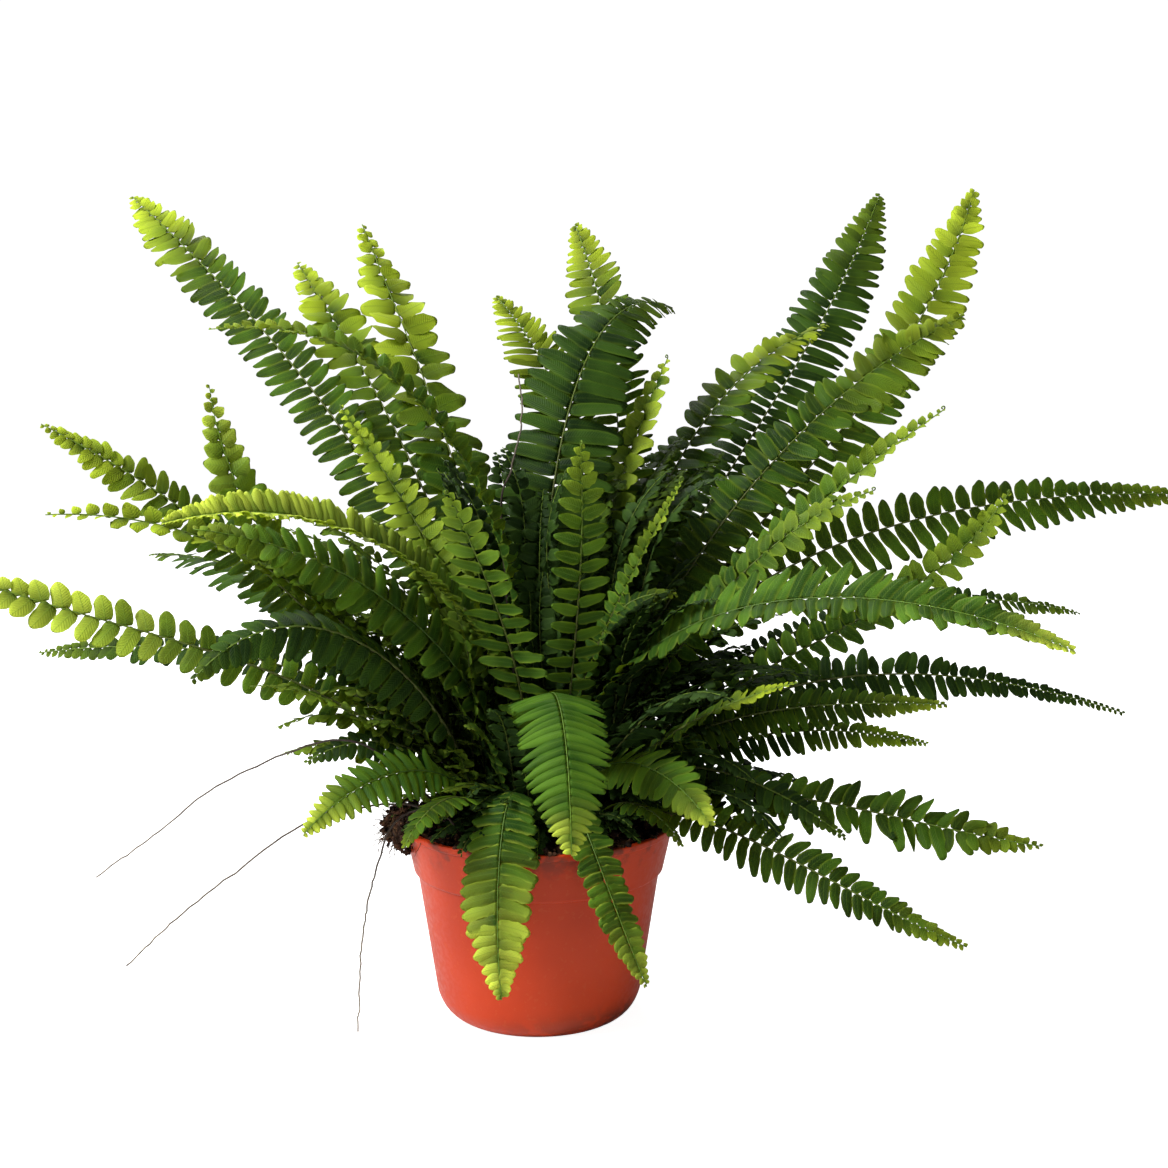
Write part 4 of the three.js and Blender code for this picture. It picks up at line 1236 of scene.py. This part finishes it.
def dome_ring(share, height=None):
    """A ring of points at that share of the radius: level at the height, or else on the uneven top."""
    angle = np.arange(DOME_SIDES) * 2 * math.pi / DOME_SIDES
    x = CROWN_RADIUS * share * np.cos(angle)
    y = CROWN_RADIUS * share * np.sin(angle)
    if height:
        return np.stack([x, y, np.full(DOME_SIDES, height)], 1)
    bumps = np.array([noise.noise(Vector((a, b, 0)) * 0.35) for a, b in zip(x, y)])
    return np.stack([x, y, dome_height(share) + DOME_BUMP * bumps], 1)


def dome(growth):
    """The cushion itself: a closed turned shape with an uneven top."""
    rings = [dome_ring(1.0, height) for height in DOME_SKIRT]
    rings += [dome_ring(share) for share in np.linspace(1, 0.04, DOME_RINGS)]
    growth.add(np.concatenate(rings), ring_faces(len(rings), DOME_SIDES), reach=0.2)


def add_stubs(growth, rng):
    for _ in range(STUBS):
        angle, share, foot = draw_spot(rng)
        lean = ray(angle) * share * rng.uniform(0.2, 0.9)
        way = unit(lean + np.array([0, 0, 1.0]) + rng.normal(0, 0.15, 3))
        tall = rng.uniform(4, 15)
        line = foot + way * np.array([[-2.0], [0.0], [0.5], [0.96], [1.0]]) * tall
        radius = np.array([1.5, 1.4, 1.1, 0.9, 0.3]) * rng.uniform(0.7, 1.1)
        growth.add(*free_tube(line, radius, 7), reach=rng.uniform(0.1, 0.8))


def add_scales(growth, rng):
    for _ in range(SCALES):
        angle, share, foot = draw_spot(rng)
        way = unit(ray(angle) * share + [0, 0, 0.7] + rng.normal(0, 0.4, 3))
        tall = rng.uniform(2.5, 6)
        bend = rng.normal(0, 0.7, 3)
        shares = np.array([[-0.4], [0.2], [0.6], [1.0]])
        line = foot + way * shares * tall + bend * shares**2
        radius = np.array([0.3, 0.42, 0.25, 0.05])
        growth.add(*free_tube(line, radius, 3), reach=rng.uniform(0.4, 1.0))


def grow_crown():
    rng = np.random.default_rng(7)
    growth = Growth()
    dome(growth)
    add_stubs(growth, rng)
    add_scales(growth, rng)
    return growth.piece("scaly_crown", ["crown"], [SCALY])


crown = grow_crown()
print("crown faces:", len(crown.data.polygons))

# %% [markdown]
# ## Soil
# The potting mix fills the pot, domes a little, and is rough with crumbs and fine roots. A flat disc with
# bump would show a clean line at the rim, so the top is a fine grid pushed up and down by noise. Loose
# crumbs lie along the rim, and a ragged clump of roots and peat spills over it on the left.

# %% Pot and soil profile
POT_HEIGHT = 86
LIP_HEIGHT = 3
BAND_FOOT = 65
BAND_STEP = 1
BAND_FOOT_RADIUS = 55
WALL_TOP_RADIUS = 53.2
WALL_FOOT_RADIUS = 45
WALL_FOOT = 9
FOOT_RADIUS = 38
WALL = 1.5
POT_FLOOR = 3.4
SOIL_GAP = 0.35  # mm between the soil and the pot


def inner_radius(z):
    upper = z >= BAND_FOOT
    foot = BAND_FOOT_RADIUS if upper else WALL_FOOT_RADIUS
    top = RIM_RADIUS - 1 if upper else WALL_TOP_RADIUS
    rise = z - (BAND_FOOT if upper else WALL_FOOT)
    height = POT_HEIGHT - BAND_FOOT if upper else BAND_FOOT - BAND_STEP - WALL_FOOT
    return foot + (top - foot) * rise / height - WALL


def turned(profile, sides):
    """A closed profile of [radius, height] points that starts and ends on the axis, turned round it."""
    angle = np.arange(sides) * 2 * math.pi / sides
    rings = [np.stack([r * np.cos(angle), r * np.sin(angle), np.full(sides, z)], 1) for r, z in profile]
    return np.concatenate(rings), ring_faces(len(rings), sides)


print("inner radius at the rim:", round(inner_radius(POT_HEIGHT), 1), "mm")

# %% Soil body
SOIL_SIDES = 150
SOIL_RINGS = 44


def rough(x, y, scale, strength):
    return strength * noise.fractal(Vector((x, y, 0)) * scale, 0.8, 2.1, 4)


def soil_body():
    edge = inner_radius(SOIL_EDGE) - SOIL_GAP
    below = [(FOOT_RADIUS - 2, POT_FLOOR + SOIL_GAP), (inner_radius(WALL_FOOT) - SOIL_GAP, WALL_FOOT + 1)]
    below += [(inner_radius(BAND_FOOT - BAND_STEP) - SOIL_GAP, BAND_FOOT - BAND_STEP)]
    below += [(inner_radius(BAND_FOOT) - SOIL_GAP, BAND_FOOT + BAND_STEP), (edge, SOIL_EDGE - 3)]
    top = [(edge * share, SOIL_EDGE) for share in np.linspace(1, 0.01, SOIL_RINGS)]
    points, faces = turned([(1.0, POT_FLOOR + SOIL_GAP), *below, *top], SOIL_SIDES)
    first_on_top = (1 + len(below)) * SOIL_SIDES
    for k in range(first_on_top, len(points)):
        x, y, _ = points[k]
        points[k, 2] = soil_height(x, y) + rough(x, y, 0.16, 1.5) + rough(x + 90, y, 0.6, 0.5)
    return points, faces


print("points of the soil:", len(soil_body()[0]))

# %% Crumbs and the clump over the rim
CRUMBS = 620
ON_RIM = 3  # every third crumb lies along the rim
CRUMB_REACH = 57  # mm from the axis, for the crumbs on the soil
RIM_CRUMBS = (55.5, 60.2)  # and for those along the rim
RIM_INSIDE = 57.4  # from here outwards a crumb lies on the rim
CLUMP_CRUMBS = 420
CLUMP_CORE = 0.72  # the size of the rough middle against the whole clump
CLUMP_PLACE = np.array([-57, -14, 86.5])
CLUMP_SIZE = np.array([11, 17, 12])


def crumb_shape(subdivisions):
    ball = bmesh.new()
    bmesh.ops.create_icosphere(ball, subdivisions=subdivisions, radius=1)
    points = np.array([v.co for v in ball.verts])
    faces = [[v.index for v in f.verts] for f in ball.faces]
    ball.free()
    return points, faces


def lump(points, rng, strength, scale=1.6):
    """Points of a ball pushed in and out by noise."""
    shift = rng.uniform(-50, 50, 3)
    push = [1 + strength * noise.fractal(Vector(p * scale + shift), 0.9, 2.0, 4) for p in points]
    return points * np.array(push)[:, None]


def add_crumbs(growth, rng):
    ball, faces = crumb_shape(1)
    for k in range(CRUMBS):
        on_rim = k % ON_RIM == 0
        angle = rng.uniform(0, 2 * math.pi)
        r = rng.uniform(*RIM_CRUMBS) if on_rim else CRUMB_REACH * math.sqrt(rng.uniform(0.1, 1))
        size = rng.uniform(0.4, 1.5) if on_rim else rng.uniform(0.6, 2.6)
        x, y = r * math.cos(angle), r * math.sin(angle)
        ground = POT_HEIGHT if r > RIM_INSIDE else soil_height(x, y) + rng.uniform(0, 1.2)
        shape = lump(ball, rng, 0.5) * size * rng.uniform(0.6, 1.2, 3)
        growth.add(shape + np.array([x, y, ground + 0.3 * size]), faces)


def add_clump(growth, rng):
    """A ragged lump of roots and peat over the rim: a rough middle under a coat of loose crumbs."""
    ball, faces = crumb_shape(3)
    growth.add(lump(ball, rng, 0.5, 1.9) * CLUMP_SIZE * CLUMP_CORE + CLUMP_PLACE, faces)
    ball, faces = crumb_shape(1)
    for _ in range(CLUMP_CRUMBS):
        place = CLUMP_PLACE + unit(rng.normal(0, 1, 3)) * CLUMP_SIZE * rng.uniform(0.6, 1.02)
        growth.add(lump(ball, rng, 0.6) * rng.uniform(0.5, 1.7, 3) + place, faces)


print("faces of a crumb:", len(crumb_shape(1)[1]))

# %% Sprouts and roots
SPROUTS = 12
SPROUT_ARC = (238, 306)  # degrees round the axis
SPROUT_RADIUS = (49, 55)  # mm from the axis
ROOTS = 190
ROOT_RADIUS = (40, 58)  # mm from the axis, for those that lie on the soil
ROOT_HALF = 0.22
ROOT_STEPS = 9


def add_sprouts(growth, rng):
    """New fronds that are only just unrolling, like small hooks along the front of the rim."""
    for _ in range(SPROUTS):
        angle = rng.uniform(*SPROUT_ARC) * DEG
        out = ray(angle)
        turn = np.linspace(0, rng.uniform(2.2, 4.2), 12)
        tall = rng.uniform(4, 7) * (1 - 0.12 * turn)
        way = unit(out * rng.uniform(-0.3, 0.6) + rng.normal(0, 0.6, 3) * [1, 1, 0])
        start = out * rng.uniform(*SPROUT_RADIUS) + [0, 0, SOIL_EDGE]
        line = start + way * column(tall / 2 * (1 - np.cos(turn))) + column(tall * np.sin(turn)) * [0, 0, 1]
        radius = np.linspace(0.5, 0.3, len(turn))
        growth.add(*free_tube(line, radius, 6), finish=2, reach=rng.uniform(0.5, 1.0))


def add_root(growth, start, way, length, rng):
    line = [start]
    for _ in range(ROOT_STEPS):
        way = unit(way + rng.normal(0, 0.28, 3) + np.array([0, 0, -0.08]))
        line.append(line[-1] + way * length / ROOT_STEPS)
    radius = ROOT_HALF * np.linspace(1, 0.35, ROOT_STEPS + 1)
    growth.add(*free_tube(line, radius, 4), finish=1, reach=rng.uniform(0.2, 0.9))


def add_roots(growth, rng):
    for k in range(ROOTS):
        in_clump = k % 2 == 0
        if in_clump:
            out = unit(rng.normal(0, 1, 3) + np.array([-0.3, -0.3, 0]))
            start = CLUMP_PLACE + out * CLUMP_SIZE * 0.8
            way = unit(out + rng.normal(0, 0.5, 3))
        else:
            angle = rng.uniform(0, 2 * math.pi)
            start = ray(angle) * rng.uniform(*ROOT_RADIUS)
            start[2] = soil_height(start[0], start[1]) + 0.5
            way = unit(ray(angle) + [0, 0, 0.35] + rng.normal(0, 0.5, 3))
        add_root(growth, start, way, rng.uniform(5, 13), rng)


def grow_soil():
    rng = np.random.default_rng(11)
    growth = Growth()
    growth.add(*soil_body())
    add_clump(growth, rng)
    add_crumbs(growth, rng)
    add_roots(growth, rng)
    add_sprouts(growth, rng)
    return growth.piece("rough_soil", ["soil"], [PEAT, SCALY, STRAW])


soil = grow_soil()
print("soil faces:", len(soil.data.polygons))

# %% [markdown]
# ## Pot
# The nursery pot is one thin moulding: a rounded foot, a tapering wall, a flared band below the rim and a
# small bead on top. It is turned round its axis from one profile, with small curves where a mould would have
# them, because sharp corners catch the light as hard lines. Eight drain holes are cut through the floor.

# %% Pot
POT_SIDES = 180
PAD_RADIUS = 14
RECESS = 1.6
RING_INNER_RADIUS = 34
DRAIN_HOLES = 8
DRAIN_RADIUS = 3.5
DRAIN_CIRCLE = 24


def bend(start, corner, end, steps=6):
    """A smooth turn from start to end that leaves towards the corner."""
    t = np.linspace(0, 1, steps)[:, None]
    start, corner, end = [np.array(p, float) for p in (start, corner, end)]
    return [tuple(p) for p in start * (1 - t) ** 2 + 2 * corner * t * (1 - t) + end * t**2]


def pot_profile():
    lip_foot = POT_HEIGHT - LIP_HEIGHT
    rim, ring, band = RIM_RADIUS, RING_INNER_RADIUS, BAND_FOOT_RADIUS
    outer_wall = (WALL_TOP_RADIUS, BAND_FOOT - 2)
    profile = [(0.4, 0), (PAD_RADIUS - 0.5, 0)]
    profile += bend((PAD_RADIUS, 0.2), (PAD_RADIUS + 0.5, RECESS), (PAD_RADIUS + 2, RECESS), 4)
    profile += bend((ring - 2, RECESS), (ring - 0.5, RECESS), (ring, 0.2), 4)
    profile += [(ring + 0.6, 0), (FOOT_RADIUS - 1, 0)]
    wall_foot = (WALL_FOOT_RADIUS + 0.1, WALL_FOOT + 1)
    profile += bend((FOOT_RADIUS, 0.1), (WALL_FOOT_RADIUS - 2, 2.6), wall_foot, 8)
    profile += [outer_wall]
    step = BAND_FOOT - 0.9
    profile += bend((WALL_TOP_RADIUS + 0.2, step), (band, step), (band + 0.1, step + 1.4), 5)
    profile += [(rim - 1.2, lip_foot - 0.6)]
    profile += bend((rim - 1.1, lip_foot), (rim, lip_foot), (rim, lip_foot + 0.9), 4)
    profile += bend((rim, POT_HEIGHT - 0.7), (rim, POT_HEIGHT), (rim - 0.8, POT_HEIGHT), 4)
    profile += bend((rim - 1.9, POT_HEIGHT), (rim - 2.5, POT_HEIGHT), (rim - 2.6, POT_HEIGHT - 0.7), 4)
    profile += [(inner_radius(BAND_FOOT), BAND_FOOT), (WALL_TOP_RADIUS - WALL, BAND_FOOT - BAND_STEP)]
    inner_foot = (inner_radius(WALL_FOOT + 1), WALL_FOOT + 1)
    profile += bend(inner_foot, (WALL_FOOT_RADIUS - 3.5, POT_FLOOR + 1), (FOOT_RADIUS, POT_FLOOR), 5)
    profile += [(0.4, POT_FLOOR)]
    return profile


def drill_tool():
    growth = Growth()
    for k in range(DRAIN_HOLES):
        angle = (k + 0.5) / DRAIN_HOLES * 2 * math.pi
        line = ray(angle) * DRAIN_CIRCLE + np.array([[0, 0, -2], [0, 0, 2], [0, 0, 6.0]])
        growth.add(*free_tube(line, DRAIN_RADIUS, 28))
    return put("drill", growth.mesh("drill"))


def make_pot():
    growth = Growth()
    growth.add(*turned(pot_profile(), POT_SIDES))
    made = growth.piece("moulded_pot", ["pot"], [PLASTIC])
    drill = drill_tool()
    cut = made.modifiers.new("drain_holes", "BOOLEAN")
    cut.object = drill
    cut.operation = "DIFFERENCE"
    cut.solver = "EXACT"
    graph = bpy.context.evaluated_depsgraph_get()
    drilled = bpy.data.meshes.new_from_object(made.evaluated_get(graph))
    made.modifiers.clear()
    made.data = drilled
    bpy.data.objects.remove(drill)
    drilled.set_sharp_from_angle(angle=50 * DEG)
    return made


pot = make_pot()
print("pot faces:", len(pot.data.polygons))

# %% [markdown]
# ## Floor
# A wide white floor runs to the horizon and meets the white world without a line. Most of it is white by the
# lights alone, but the plant's shadow would lie on it as a wide grey patch on the right, which the picture
# doesn't have. A glow that only the camera sees lifts that patch to white, and casts nothing on the plant.

# %% Floor
FLOOR_HALF = 20.0
FLOOR_WHITE = 0.75
FLOOR_GLOW = 0.9


def make_floor():
    mesh = bpy.data.meshes.new("floor")
    h = FLOOR_HALF
    mesh.from_pydata([(-h, -h, 0), (h, -h, 0), (h, h, 0), (-h, h, 0)], [], [(0, 1, 2, 3)])
    material, tree, surface = new_material("white_floor")
    seen = node(tree, "LightPath").outputs["Is Camera Ray"]
    paint = {"Base Color": (FLOOR_WHITE,) * 3 + (1,), "Roughness": 0.9, "Specular IOR Level": 0.1}
    paint |= {"Emission Color": (1, 1, 1, 1), "Emission Strength": reckon(tree, "MULTIPLY", seen, FLOOR_GLOW)}
    feed(tree, surface, paint)
    mesh.materials.append(material)
    made = put("floor", mesh)
    return made


floor = make_floor()
print(floor.name, 2 * FLOOR_HALF, "m wide")

# %% [markdown]
# ## Finish
# The size of the dressed plant is printed: its triangles in all and in its largest piece.

# %% Sizes and finish
triangles = {o.name: sum(len(face.vertices) - 2 for face in o.data.polygons) for o in grown_pieces}
print("triangles in all:", sum(triangles.values()), "and at most", max(triangles.values()))
